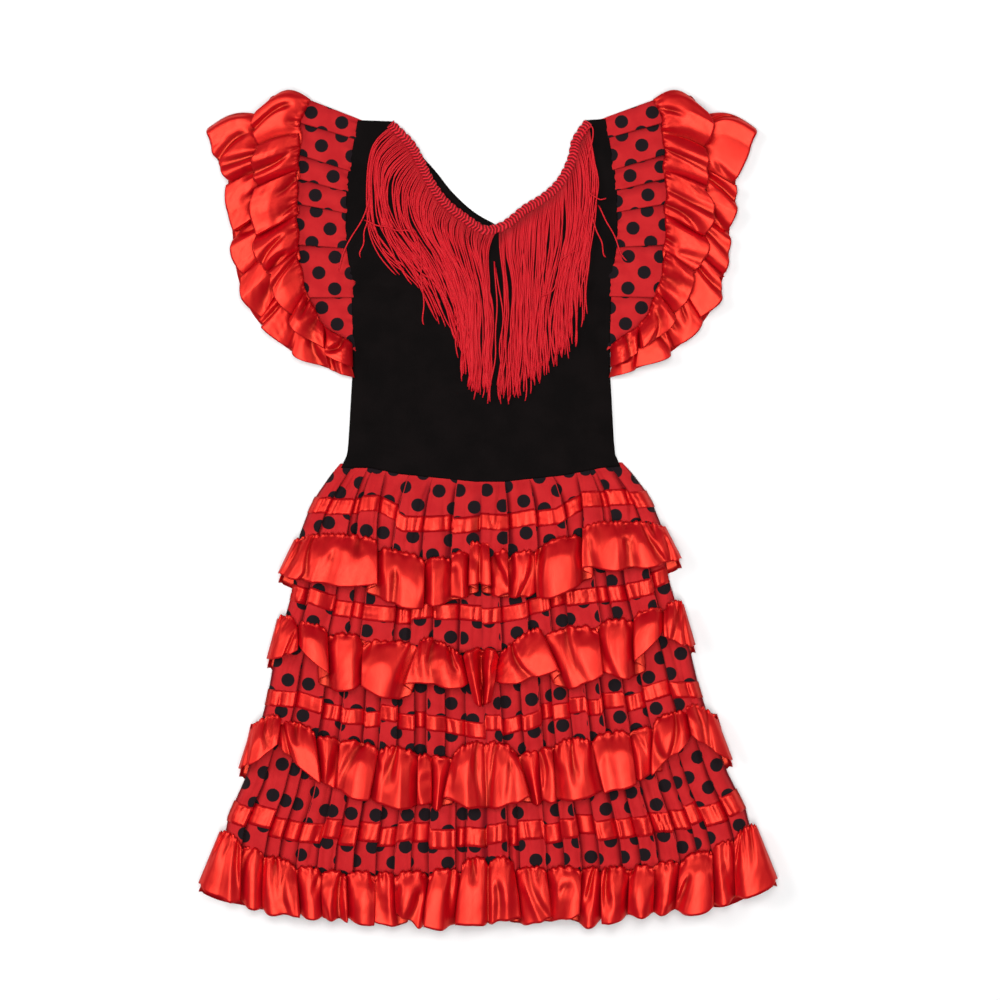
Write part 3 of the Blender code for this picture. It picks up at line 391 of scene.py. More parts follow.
def level_at(y: np.ndarray, face: Face) -> np.ndarray:
    """Middle of a panel's wall where no pleat is raised.

    Args:
        y: Places up the dress.
        face: Front or back.

    Returns:
        The heights.
    """
    if face is Face.FRONT:
        return risen(y, BODICE_FRONT_Z, SKIRT_FRONT_Z)
    return risen(y, BODICE_BACK_Z, SKIRT_BACK_Z)


class Curve:
    """A smooth line on plan through a few points, read by share of its length."""

    FINE = 40

    def __init__(self, points: Sequence[Sequence[float]]) -> None:
        """Trace the line.

        Args:
            points: Its (x, y) points, in order.
        """
        given = np.array(points, dtype=float)
        legs = np.hypot(*np.diff(given, axis=0).T)
        self.length = float(legs.sum())
        stations, places = [], []
        for span, leg in enumerate(legs):
            start, end = given[span], given[span + 1]
            leave = (end - given[max(span - 1, 0)]) / 2
            arrive = (given[min(span + 2, len(given) - 1)] - start) / 2
            for part in np.linspace(0.0, 1.0, self.FINE, endpoint=span == len(legs) - 1):
                square, cube = part * part, part ** 3
                places.append(start * (2 * cube - 3 * square + 1) + leave * (cube - 2 * square + part)
                              + end * (3 * square - 2 * cube) + arrive * (cube - square))
                stations.append((legs[:span].sum() + leg * part) / self.length)
        self.stations = np.array(stations)
        self.places = np.array(places)

    def at(self, share: Numbers) -> np.ndarray:
        """Read the line's points at shares of its length, from 0 to 1."""
        return stacked(*(np.interp(share, self.stations, column) for column in self.places.T))

    def run(self, share: Numbers) -> np.ndarray:
        """Direction of the line.

        Args:
            share: Shares of its length.

        Returns:
            Unit directions.
        """
        step = self.at(np.minimum(np.asarray(share) + 0.01, 1.0))
        step = step - self.at(np.maximum(np.asarray(share) - 0.01, 0.0))
        return step / np.linalg.norm(step, axis=-1, keepdims=True)


# ---------------------------------------------------------------- uneven cloth
@dataclass(frozen=True)
class Gathers:
    """Small creases that run into a piece of cloth from its sewn edge.

    Each is a narrow valley of its own place, width, depth, length and lean.

    Fields:
        seed: A number for their own unevenness.
        apart: Least and greatest distance between creases.
        width: Half width of a crease at its edge.
        depth: Its depth there.
        reach: How far it runs into the cloth.
        from_low: Whether they start at the cloth's lower edge.
        lean: The most that one goes sideways, as a share of its length.
    """

    seed: int
    apart: Range = (3.2, 7.5)
    width: Range = (0.9, 2.0)
    depth: Range = (0.7, 1.9)
    reach: Range = (3.0, 11.0)
    from_low: bool = False
    lean: float = 0.22

    def heights(self, along: np.ndarray, down: np.ndarray, length: float) -> np.ndarray:
        """Heights that the creases add.

        Args:
            along: Distance along the cloth of every point.
            down: Share of the way down it.
            length: Its length down.

        Returns:
            Heights, below zero in a crease.
        """
        draw = random.Random(self.seed)
        from_edge = (1.0 - down if self.from_low else down) * length
        total = np.zeros_like(along)
        place = float(along.min())
        while place < along.max():
            place += draw.uniform(*self.apart)
            width, depth = draw.uniform(*self.width), draw.uniform(*self.depth)
            reach, lean = draw.uniform(*self.reach), draw.uniform(-self.lean, self.lean)
            off = (along - place - lean * from_edge) / (width * (1.0 + from_edge / reach))
            total -= depth * np.exp(-off ** 2) * np.exp(-(from_edge / reach) ** 2)
        return total


@dataclass(frozen=True)
class Lobes:
    """Round lobes of gathered cloth, parted by soft troughs.

    Each trough has its own place, lean, width and depth. Some run all the way down, some
    fade before the hem and some start below the seam.

    Fields:
        seed: A number for their own unevenness.
        apart: Least and greatest distance between troughs.
        height: Least and greatest height of a lobe.
        narrow: Half width of a trough at the seam.
        wide: Half width of a trough at the hem.
        begun: Share of its height that a lobe has at the seam.
        full: Share of the way down at which it has all of it.
        lean: The most that a trough goes sideways on its way down.
        bend: The most that it curves out of a straight line.
        beyond: How far past the cloth's ends troughs are laid.
        crest: Distance between the places where a lobe's height is drawn.
        fading: Share of the troughs that fade before the hem.
        late: That share and the share that starts below the seam.
    """

    seed: int
    apart: Range = (10.0, 26.0)
    height: Range = (2.2, 6.5)
    narrow: Range = (0.8, 1.8)
    wide: Range = (3.0, 8.5)
    begun: float = 0.2
    full: float = 0.45
    lean: float = 13.0
    bend: float = 4.5
    beyond: float = 10.0
    crest: float = 14.0
    fading: float = 0.3
    late: float = 0.5

    def heights(self, along: np.ndarray, down: np.ndarray) -> np.ndarray:
        """Heights that the lobes add.

        Args:
            along: Distance along the cloth of every point.
            down: Share of the way down it.

        Returns:
            Heights, zero at the foot of the deepest trough.
        """
        draw = random.Random(self.seed)
        start, end = float(along.min()) - self.beyond, float(along.max()) + self.beyond
        crests = np.arange(start, end + 2.0 * self.beyond, self.crest)
        tall = np.interp(along, crests, [draw.uniform(*self.height) for _ in crests])
        kept = np.ones_like(along)
        place = start
        while place < end:
            place += draw.uniform(*self.apart)
            width = mix(draw.uniform(*self.narrow), draw.uniform(*self.wide), down ** 0.8)
            lean, bend = draw.uniform(-self.lean, self.lean), draw.uniform(-self.bend, self.bend)
            off = (along - place - lean * down - bend * np.sin(math.pi * down)) / width
            kind, edge = draw.random(), draw.uniform(0.35, 0.8)
            window = 1.0
            if kind < self.fading:
                window = 1.0 - ramp(down, edge - 0.25, 0.4)
            elif kind < self.late:
                window = ramp(down, 0.5 * edge - 0.1, 0.3)
            sides = np.where(off > 0, off * draw.uniform(0.6, 1.0), off * draw.uniform(0.6, 1.0))
            kept = kept * (1.0 - draw.uniform(0.6, 1.0) * np.exp(-np.abs(sides) ** 2.1) * window)
        sewn = mix(0.12, self.begun, smooth(down / 0.02))
        return kept * tall * (sewn + (1.0 - self.begun) * smooth(down / self.full))


def tucked_in(rise: np.ndarray, step: float, share: np.ndarray, width: np.ndarray,
              reach: float) -> np.ndarray:
    """Share of its roundness that a fold keeps: 1 where it is free, 0 right at its neighbour's edge."""
    off = width * np.minimum(share, 1.0 - share)
    return 1.0 - (1.0 - np.clip(rise / step, 0.0, 1.0)) * (1.0 - smooth(off / reach))


def crumpled(along: np.ndarray, down: np.ndarray, seed: int, size: float) -> np.ndarray:
    """Small soft wrinkles in all directions, stronger in some places than in others.

    Args:
        along: Distance along the cloth of every point.
        down: Distance down it.
        seed: A number for its own unevenness.
        size: Distance from one wrinkle to the next.

    Returns:
        Heights from about -1 to 1.
    """
    draw = random.Random(seed)
    total = np.zeros_like(along)
    for _ in range(5):
        turn, phase = draw.uniform(0.0, math.pi), draw.uniform(0.0, math.tau)
        scale = size * draw.uniform(0.7, 1.5) / math.tau
        total += np.sin((along * math.cos(turn) + down * math.sin(turn)) / scale + phase
                        + 1.5 * np.sin(along / (size * 1.9) + phase))
    patches = np.sin(along / (size * 2.7) + draw.uniform(0.0, math.tau)) * np.sin(along / (size * 4.3))
    return total / 3.0 * (0.5 + 0.5 * patches)


def hollows(points: np.ndarray, reach: int) -> np.ndarray:
    """How deep each point lies in a fold, against the cloth to its left and right: the mask for the painted
    shade in folds.

    Args:
        points: The cloth's grid of points.
        reach: How many lines of points to look to each side.

    Returns:
        0 on a crest, 1 deep in a fold.
    """
    height = points[..., 2]
    padded = np.pad(height, ((0, 0), (reach, reach)), mode="edge")
    total = np.cumsum(np.pad(padded, ((0, 0), (1, 0))), axis=1)
    around = (total[:, 2 * reach + 1:] - total[:, :-2 * reach - 1]) / (2 * reach + 1)
    return np.clip((around - height) / HOLLOW_DEPTH, 0.0, 1.0)


# ---------------------------------------------------------------- pieces of cloth
@dataclass
class Cloth:
    """A piece of cloth: its points, and each point's place on the flat cut.

    Fields:
        points: Rows of points from the sewn edge to the free one, in millimetres.
        flat: The same points on the flat cloth, in millimetres.
        thick: Its thickness.
        held: How it is held.
    """

    points: np.ndarray
    flat: np.ndarray
    thick: float = 0.5
    held: Held = Held.LAID

    def cut(self) -> tuple[float, float, float]:
        """Size of the flat cut.

        Returns:
            Its width, its length and its area, in metres.
        """
        across = np.linalg.norm(np.diff(self.points, axis=1), axis=2).sum(axis=1) * MM
        down = np.linalg.norm(np.diff(self.points, axis=0), axis=2).sum(axis=0) * MM
        a, b = self.points[:-1, :-1], self.points[1:, :-1]
        c, d = self.points[1:, 1:], self.points[:-1, 1:]
        area = np.linalg.norm(np.cross(c - a, b - d), axis=2).sum() / 2 * MM * MM
        width, length = float(across.max()), float(down.max())
        if self.held is Held.LAID:
            width, length = (float(np.ptp(self.flat[..., axis])) * MM for axis in (0, 1))
        return width, length, min(float(area), width * length)

    def sewn(self, name: str, finish: bpy.types.Material) -> bpy.types.Object:
        """Args:
            name: The piece's name, which is its solid's with "cloth" put after it.
            finish: Its material.

        Returns:
            The object.
        """
        rows, columns = self.points.shape[:2]
        bm = bmesh.new()
        bmesh.ops.create_grid(bm, x_segments=columns - 1, y_segments=rows - 1, size=0.5)
        mesh = bpy.data.meshes.new(name)
        bm.to_mesh(mesh)
        bm.free()
        mapped(mesh, self.points[::-1], self.flat[::-1].reshape(-1, 2))
        reach = PLEATED_REACH if self.held is Held.FOLDED else HOLLOW_REACH
        # Painted shade: points deep in a fold are noted here, and the materials darken their colour.
        shaded(mesh, hollows(self.points, reach)[::-1])
        piece = settled(f"{name}_cloth", mesh, finish)
        wall = piece.modifiers.new("wall", "SOLIDIFY")
        wall.thickness = self.thick * MM
        wall.offset = 0.0
        width, length, area = self.cut()
        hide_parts(name)
        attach(piece, "root")
        return piece


def mapped(mesh: bpy.types.Mesh, points: np.ndarray, flat: np.ndarray) -> None:
    """Put a mesh's points in place and note each one's place on the flat cloth or cord.

    Args:
        mesh: The mesh.
        points: A point for each of its own, in millimetres.
        flat: Their places on the flat, in millimetres.
    """
    mesh.vertices.foreach_set("co", points.astype(np.float32).ravel() * MM)
    corners = np.empty(len(mesh.loops), dtype=np.int32)
    mesh.loops.foreach_get("vertex_index", corners)
    layer = mesh.uv_layers.new(name="cloth")
    layer.data.foreach_set("uv", (flat[corners] * MM).astype(np.float32).ravel())


def shaded(mesh: bpy.types.Mesh, shade: np.ndarray) -> None:
    """Note how shaded each point of a mesh is, from 0 in the open to 1 deep in a fold."""
    layer = mesh.attributes.new("painted_shade", "FLOAT", "POINT")
    layer.data.foreach_set("value", shade.astype(np.float32).ravel())


def settled(name: str, mesh: bpy.types.Mesh, finish: bpy.types.Material) -> bpy.types.Object:
    """Put a mesh in the scene as a smooth object in its material.

    Args:
        name: The object's name.
        mesh: Its mesh.
        finish: Its material.

    Returns:
        The object.
    """
    mesh.materials.append(finish)
    mesh.shade_smooth()
    piece = bpy.data.objects.new(name, mesh)
    bpy.context.scene.collection.objects.link(piece)
    return piece


# The way round a fold's edge, from the upper layer to the lower one: how far back under
# it the cloth goes, as a share of the tuck, how far it bulges, and its height's share.
Turn = namedtuple("Turn", "tuck bulge level")
TURN = (
    Turn(0.0, -0.6, 0.95), Turn(0.0, -1.0, 0.78), Turn(0.0, -0.7, 0.62), Turn(0.2, 0.0, 0.52),
    Turn(0.6, 0.0, 0.50), Turn(0.95, 0.3, 0.46), Turn(1.0, 0.8, 0.32), Turn(1.0, 0.7, 0.15),
    Turn(0.9, 0.2, 0.03), Turn(0.5, 0.0, 0.0),
)
Line = namedtuple("Line", "top low y_top y_low rise tuck bulge roll share fold seen width")


def shown(turn: Turn) -> float:
    """Tell with 1 or 0 whether a turn of the cloth still shows from above."""
    return 1.0 if turn.level > 0.9 else 0.0


def edge_line(outer: Petal, inner: Petal, is_under: bool, is_inner: bool) -> tuple[float, float]:
    """Distances out of one side of the edge between two folds, on the upper one's line.

    Args:
        outer: The fold nearer the side.
        inner: The fold nearer the middle.
        is_under: Whether the side asked for is the lower one.
        is_inner: Whether it is the inner fold's side.

    Returns:
        The distance at the seam and at the hem.
    """
    if not is_under:
        return inner.top, inner.low
    ends = (outer.seam_in, outer.hem_in), (inner.seam_out, inner.hem_out)
    (upper_seam, upper_hem), (seam, hem) = ends if is_inner else ends[::-1]
    slope = (inner.low - inner.top) / (upper_hem - upper_seam) if upper_hem != upper_seam else 0.0
    return inner.top + slope * (seam - upper_seam), inner.low + slope * (hem - upper_hem)


@dataclass(frozen=True)
class Folding:
    """How a strip is folded.

    Fields:
        step: Height of an upper layer over the lower one.
        middle_rise: Height at the middle line.
        tuck: How far the cloth goes back under a fold.
        spacing: Distance between columns of points.
        sag: How far the hem of a fold hangs below a straight line, as a share of its width.
        crown: How far its sewn edge arches over a straight line.
        roll: Whether the ends turn down into the side folds.
    """

    step: float
    middle_rise: float
    tuck: float
    spacing: float
    sag: float = 0.0
    crown: float = 0.0
    roll: bool = False

    def half(self, folds: Sequence[Petal]) -> list[Line]:
        """Lines down half a strip, from its side to its middle.

        Args:
            folds: Its folds.

        Returns:
            The lines.
        """
        lines: list[Line] = []
        for index, fold in enumerate(folds):
            last = index == len(folds) - 1
            inner = folds[index + 1] if not last else fold._replace(top=0, low=0, over=0)
            start = edge_line(folds[index - 1], fold, fold.over < 0, True)
            end = edge_line(fold, inner, inner.over > 0, False)
            rises = (self.step if fold.over > 0 else 0.0,
                     self.middle_rise if last else (self.step if inner.over < 0 else 0.0))
            width = max(abs(start[1] - end[1]), abs(start[0] - end[0]))
            parts = max(int(width / self.spacing), 4)
            for part in range(parts + 1):
                share = part / parts
                arch = math.sin(math.pi * share)
                crown = min(self.crown, 0.22 * width) * (1.0 - abs(2.0 * share - 1.0) ** 3.5)
                lines.append(Line(
                    mix(start[0], end[0], share), mix(start[1], end[1], share),
                    mix(fold.seam_out, fold.seam_in, share) + crown,
                    mix(fold.hem_out, fold.hem_in, share) - self.sag * width * arch,
                    mix(*rises, share) + fold.puff * arch, 0.0, 0.0, 0.0, share, index, 1.0, width,
                ))
            if not last:
                lines += self.turned(lines[-1], fold, inner, index)
        return lines

    def turned(self, before: Line, fold: Petal, inner: Petal, index: int) -> list[Line]:
        """Lines round the edge between two folds.

        Args:
            before: The last line of the outer fold.
            fold: The outer fold.
            inner: The inner fold.
            index: The outer fold's number.

        Returns:
            The lines between the two.
        """
        is_falling = inner.over < 0
        start = edge_line(fold, inner, is_falling, True)
        path, sign = (TURN, 1.0) if is_falling else (TURN[::-1], -1.0)
        tuck = min(self.tuck, 0.4 * before.width)
        lines = []
        for place, turn in enumerate(path):
            share = (place + 1) / (len(path) + 1)
            lines.append(Line(
                mix(before.top, start[0], share), mix(before.low, start[1], share),
                mix(before.y_top, inner.seam_out, share), mix(before.y_low, inner.hem_out, share),
                self.step * turn.level, sign * turn.tuck * tuck, sign * turn.bulge * self.step / 4,
                0.0, share, index, shown(turn), before.width,
            ))
        return lines

    def lines(self, folds: Sequence[Petal]) -> Lines:
        """Lines down a whole strip, from its left end to its right one.

        Args:
            folds: The folds of half the strip.

        Returns:
            The lines, as columns of numbers.
        """
        half = self.half(folds)
        if self.roll:
            edge = half[0]._replace(rise=0.0, seen=0.0)
            rolled = [edge._replace(top=edge.top - inwards, low=edge.low - inwards, roll=share)
                      for inwards, share in SIDE_ROLL]
            half = rolled + [line for line in half[1:] if line.low < rolled[-1].low - CLEAR]
        table = np.array(half + half[-2::-1], dtype=float)
        side = np.where(np.arange(len(table)) < len(half), -1.0, 1.0)
        return Lines(side, *table.T)


@dataclass
class Lines:
    """Lines down a strip, as columns of numbers with one entry for each line."""

    side: np.ndarray
    top: np.ndarray
    low: np.ndarray
    y_top: np.ndarray
    y_low: np.ndarray
    rise: np.ndarray
    tuck: np.ndarray
    bulge: np.ndarray
    roll: np.ndarray
    share: np.ndarray
    fold: np.ndarray
    seen: np.ndarray
    width: np.ndarray

    def along(self) -> np.ndarray:
        """Distance along the cloth at the hem.

        Returns:
            One distance a line.
        """
        out = self.side * (self.low + self.tuck)
        steps = np.hypot(np.diff(out), np.diff(self.rise))
        return np.concatenate(([0.0], np.cumsum(steps)))

    def near_side(self) -> np.ndarray:
        """Share of the creases by the dress's side that each line has: 1 by the side, 0 away from it."""
        return smooth((self.low - self.low[0] + SIDE_WIDTH) / SIDE_FADE)

    def each_fold(self) -> Iterator[tuple[Side, float, np.ndarray]]:
        """Go through the folds.

        Yields:
            A fold's side and number, and whether each line is its own.
        """
        for side in Side:
            for fold in np.unique(self.fold):
                yield side, fold, (self.side == side.value) & (self.fold == fold)


def unfolded(points: np.ndarray, own: np.ndarray, seen: np.ndarray,
             row: int) -> tuple[np.ndarray, np.ndarray, np.ndarray]:
    """Lay one fold of a pleated piece out flat, about its middle line.

    Args:
        points: The piece's points.
        own: Whether each line is the fold's own.
        seen: How much of it shows.
        row: The row of points to measure from.

    Returns:
        Distances across and up the fold, and the point that they are measured from.
    """
    plain = np.flatnonzero(own & (seen > 0))
    centre = plain[len(plain) // 2]
    rise = points[0, centre, :2] - points[-1, centre, :2]
    up = rise / np.linalg.norm(rise)
    offset = points[:, own, :2] - points[row, centre, :2]
    return offset @ np.array((up[1], -up[0])), offset @ up, points[row, centre]


# ---------------------------------------------------------------- shader arithmetic
def operator(operation: str, is_flipped: bool = False) -> Callable[..., Num]:
    """Make a method of Num that adds one Math node.

    Args:
        operation: The node's operation.
        is_flipped: Whether the number itself comes after the other one.

    Returns:
        The method.
    """
    def method(number: Num, *others: Num | float) -> Num:
        """Apply the operation to a number, and to another one if it takes two."""
        values = (*others, number) if is_flipped else (number, *others)
        return number.graph.number("ShaderNodeMath", {"operation": operation}, dict(enumerate(values)))

    return method


@dataclass(frozen=True)
class Num:
    """A number in a material, with arithmetic that adds Math nodes.

    Fields:
        graph: The material's graph.
        socket: The socket that gives the number.
    """

    graph: Graph
    socket: bpy.types.NodeSocket

    __add__ = __radd__ = operator("ADD")
    __mul__ = __rmul__ = operator("MULTIPLY")
    __sub__, __rsub__ = operator("SUBTRACT"), operator("SUBTRACT", is_flipped=True)
    __truediv__, __rtruediv__ = operator("DIVIDE"), operator("DIVIDE", is_flipped=True)
    __pow__ = operator("POWER")
    fraction, sine, least = operator("FRACT"), operator("SINE"), operator("MINIMUM")

    def wave(self) -> Num:
        """Swing from 0 to 1 and back each time that this goes up by 1."""
        return (self * math.tau).sine() * 0.5 + 0.5

    def eased(self, low: float, high: float) -> Num:
        """Turn a range into a soft step from 0, where this is low, to 1, where it is high."""
        return self.graph.number("ShaderNodeMapRange", {"interpolation_type": "SMOOTHSTEP"},
                                 {"Value": self, "From Min": low, "From Max": high})


class Graph:
    """A material's nodes, with one way to add any node."""

    def __init__(self, name: str) -> None:
        """Start a material.

        Args:
            name: Its name.
        """
        self.material = bpy.data.materials.new(name)
        self.material.use_nodes = True
        self.tree = self.material.node_tree
        self.shader = self.tree.nodes["Principled BSDF"]

    def node(self, kind: str, settings: dict, inputs: dict) -> bpy.types.Node:
        """Add a node.

        Args:
            kind: Its type.
            settings: Its properties, by name.
            inputs: Its inputs by name or number: a number, a colour, a Num or a socket.

        Returns:
            The node.
        """
        node = self.tree.nodes.new(kind)
        for key, value in settings.items():
            setattr(node, key, value)
        self.fed(node, inputs)
        return node

    def number(self, kind: str, settings: dict, inputs: dict, output: int | str = 0) -> Num:
        """Add a node and take one of the numbers that it gives."""
        return Num(self, self.node(kind, settings, inputs).outputs[output])

    def fed(self, node: bpy.types.Node, inputs: dict) -> None:
        """Set or link a node's inputs.

        Args:
            node: The node.
            inputs: Its inputs by name or number.
        """
        for key, value in inputs.items():
            if isinstance(value, Num):
                self.tree.links.new(value.socket, node.inputs[key])
            elif isinstance(value, bpy.types.NodeSocket):
                self.tree.links.new(value, node.inputs[key])
            else:
                node.inputs[key].default_value = value

    def cloth(self) -> tuple[bpy.types.NodeSocket, Num, Num]:
        """Place on the flat cloth.

        Returns:
            The place, and its two distances in metres.
        """
        place = self.node("ShaderNodeUVMap", {"uv_map": "cloth"}, {}).outputs[0]
        parts = self.node("ShaderNodeSeparateXYZ", {}, {0: place})
        return place, Num(self, parts.outputs[0]), Num(self, parts.outputs[1])

    def painted_shade(self) -> Num:
        """How much painted shade a point has: deep in a fold of cloth, or at a cord's root under the braid.
        """
        return self.number("ShaderNodeAttribute", {"attribute_name": "painted_shade"}, {}, "Fac")

    def noise(self, place: bpy.types.NodeSocket, scale: float, detail: float = 2.0) -> Num:
        """Uneven numbers round one half, with as many changes in a metre as the scale says."""
        return self.number("ShaderNodeTexNoise", {}, {"Vector": place, "Scale": scale, "Detail": detail})

    def blended(self, share: Num, low: Sequence[float] | bpy.types.NodeSocket,
                high: Sequence[float] | bpy.types.NodeSocket) -> bpy.types.NodeSocket:
        """Mix two colours.

        Args:
            share: How much of the second.
            low: The first colour.
            high: The second colour.

        Returns:
            The mixed colour.
        """
        inputs = {0: share}
        for key, colour in ((6, low), (7, high)):
            inputs[key] = colour if isinstance(colour, bpy.types.NodeSocket) else (*colour, 1.0)
        node = self.node("ShaderNodeMix", {"data_type": "RGBA", "clamp_factor": True}, inputs)
        return node.outputs[2]

    def bumped(self, height: Num, distance: float, strength: float) -> bpy.types.NodeSocket:
        """Turn a height from 0 to 1 into a bump; the distance is what 1 stands for, in metres."""
        node = self.node("ShaderNodeBump", {}, {"Height": height, "Distance": distance, "Strength": strength})
        return node.outputs[0]


# ---------------------------------------------------------------- finishes
@dataclass(frozen=True)
class SpottedCotton:
    """Matte red cloth with black spots in staggered rows.

    Fields:
        name, red, worn, folded, spot: Its name and colours; folded is painted shade, mixed in where the cloth
            lies deep in a fold.
        pitch: Distance between spots in a row and between rows of one kind, in metres.
        radius: A spot's radius.
        ragged: How uneven its edge is.
        edge: Half the width over which it fades out.
        weave: Threads in a metre.
    """

    name: str = "spotted_cotton"
    red: Colour = (0.48, 0.011, 0.015)
    worn: Colour = (0.54, 0.016, 0.019)
    # Painted shade for cloth deep in a fold.
    folded: Colour = (0.18, 0.001, 0.006)
    spot: Colour = (0.010, 0.006, 0.008)
    pitch: float = 0.0255
    radius: float = 0.0053
    ragged: float = 0.0006
    edge: float = 0.00025
    weave: float = 2400.0

    def material(self) -> bpy.types.Material:
        """Build the material.

        Returns:
            The material.
        """
        graph = Graph(self.name)
        place, across, down = graph.cloth()
        nearest = None
        for shift in (0.0, 0.5):
            a, b = (((way / self.pitch + shift).fraction() - 0.5) * self.pitch for way in (across, down))
            reach = (a * a + b * b) ** 0.5
            nearest = reach if nearest is None else nearest.least(reach)
        wobble = (graph.noise(place, 600.0) - 0.5) * self.ragged
        spotted = 1.0 - (nearest + wobble).eased(self.radius - self.edge, self.radius + self.edge)
        cloth = graph.blended(graph.noise(place, 60.0, 4.0).eased(0.35, 0.65), self.red, self.worn)
        # Painted shade: the colour goes towards folded where the cloth lies deep in a fold.
        cloth = graph.blended(graph.painted_shade(), cloth, self.folded)
        thread = (across * self.weave * math.tau).sine() * (down * self.weave * math.tau).sine() * 0.5 + 0.5
        graph.fed(graph.shader, {
            "Base Color": graph.blended(spotted, cloth, self.spot),
            "Roughness": 0.80 + spotted * 0.08,
            "Sheen Weight": 0.05, "Sheen Roughness": 0.5, "Sheen Tint": (1.0, 0.4, 0.4, 1.0),
            "Specular IOR Level": 0.12,
            "Normal": graph.bumped(thread * 0.5 + graph.noise(place, 300.0) * 0.5, 0.00012, 0.35),
        })
        return graph.material


@dataclass(frozen=True)
class Satin:
    """Glossy woven satin: its floating threads glow where they face the light."""

    name: str = "red_satin"
    deep: Colour = (0.55, 0.0005, 0.010)
    light: Colour = (0.61, 0.001, 0.012)
    # Painted shade, mixed in where the satin lies deep in a fold.
    folded: Colour = (0.33, 0.0, 0.006)
    tint: Colour = (1.0, 0.17, 0.07)
    metallic: float = 0.35
    roughness: float = 0.39
    weave: float = 2600.0

    def material(self) -> bpy.types.Material:
        """Build the material.

        Returns:
            The material.
        """
        graph = Graph(self.name)
        place, across, _ = graph.cloth()
        cloudy = graph.noise(place, 70.0, 1.0)
        thread = (across * self.weave).wave()
        slub = graph.noise(place, 420.0, 2.0)
        satin = graph.blended(cloudy.eased(0.3, 0.7), self.deep, self.light)
        graph.fed(graph.shader, {
            # Painted shade: darker towards folded where the satin lies deep in a fold.
            "Base Color": graph.blended(graph.painted_shade(), satin, self.folded),
            "Roughness": self.roughness + (slub - 0.5) * 0.12,
            "Metallic": self.metallic,
            "IOR": 2.0, "Specular IOR Level": 1.0, "Specular Tint": (*self.tint, 1.0),
            "Normal": graph.bumped(thread * 0.05 + cloudy * 0.95, 0.0006, 0.22),
        })
        return graph.material


@dataclass(frozen=True)
class Knit:
    """Black stretch knit with a fine rib."""

    name: str = "black_knit"
    black: Colour = (0.0022, 0.0013, 0.0013)
    grey: Colour = (0.0046, 0.0030, 0.0030)
    rib: float = 900.0

    def material(self) -> bpy.types.Material:
        """Build the material.

        Returns:
            The material.
        """
        graph = Graph(self.name)
        place, across, down = graph.cloth()
        cloudy = graph.noise(place, 40.0, 4.0)
        wale, course = (across * self.rib).wave(), (down * self.rib * 1.4).wave()
        graph.fed(graph.shader, {
            "Base Color": graph.blended(cloudy.eased(0.3, 0.7), self.black, self.grey),
            "Roughness": 0.78 + (cloudy - 0.5) * 0.15,
            "Specular IOR Level": 0.06,
            "Normal": graph.bumped(wale * 0.6 + course * 0.4, 0.00015, 0.4),
        })
        return graph.material


@dataclass(frozen=True)
class Cord:
    """Twisted rayon cord."""

    name: str = "red_cord"
    deep: Colour = (0.40, 0.002, 0.010)
    light: Colour = (0.80, 0.012, 0.026)
    shaded: Colour = (0.13, 0.001, 0.004)
    twist: float = 0.0016
    # Share of the colour taken by stripes along the twist; on the gimp the deep stripes are painted shade
    # between its loops.
    striped: float = 0.0

    def material(self) -> bpy.types.Material:
        """Build the material.

        Returns:
            The material.
        """
        graph = Graph(self.name)
        place, around, down = graph.cloth()
        ply = (down / self.twist + around).wave()
        # For the gimp, striped puts in the ply's stripes, lined up with the braid's loops: the deep colour is
        # painted shade in the gaps between loops, the light colour lies on their crests.
        shade = graph.noise(place, 90.0, 2.0) * (1.0 - self.striped) + ply * self.striped
        cord = graph.blended(shade.eased(0.35, 0.65), self.deep, self.light)
        graph.fed(graph.shader, {
            # Painted shadow: darker towards shaded where a cord starts under the braid.
            "Base Color": graph.blended(graph.painted_shade(), cord, self.shaded),
            "Roughness": 0.42 + ply * 0.15,
            "Specular IOR Level": 0.6, "Specular Tint": (1.0, 0.35, 0.3, 1.0),
            "Normal": graph.bumped(ply, 0.0002, 0.6),
        })
        return graph.material


@dataclass(frozen=True)
class Floor:
    """A plain matt white floor."""

    name: str = "white_floor"
    white: Colour = (0.93, 0.93, 0.93)
    shade: Colour = (0.92, 0.92, 0.92)

    def material(self) -> bpy.types.Material:
        """Build the material.

        Returns:
            The material.
        """
        graph = Graph(self.name)
        place = graph.node("ShaderNodeTexCoord", {}, {}).outputs["Object"]
        graph.fed(graph.shader, {
            "Base Color": graph.blended(graph.noise(place, 3.0), self.white, self.shade),
            "Roughness": 0.9, "Specular IOR Level": 0.1,
        })
        return graph.material


@dataclass(frozen=True)
class Finishes:
    """The dress's finishes."""

    knit: bpy.types.Material
    spots: bpy.types.Material
    satin: bpy.types.Material
    cord: bpy.types.Material
    gimp: bpy.types.Material


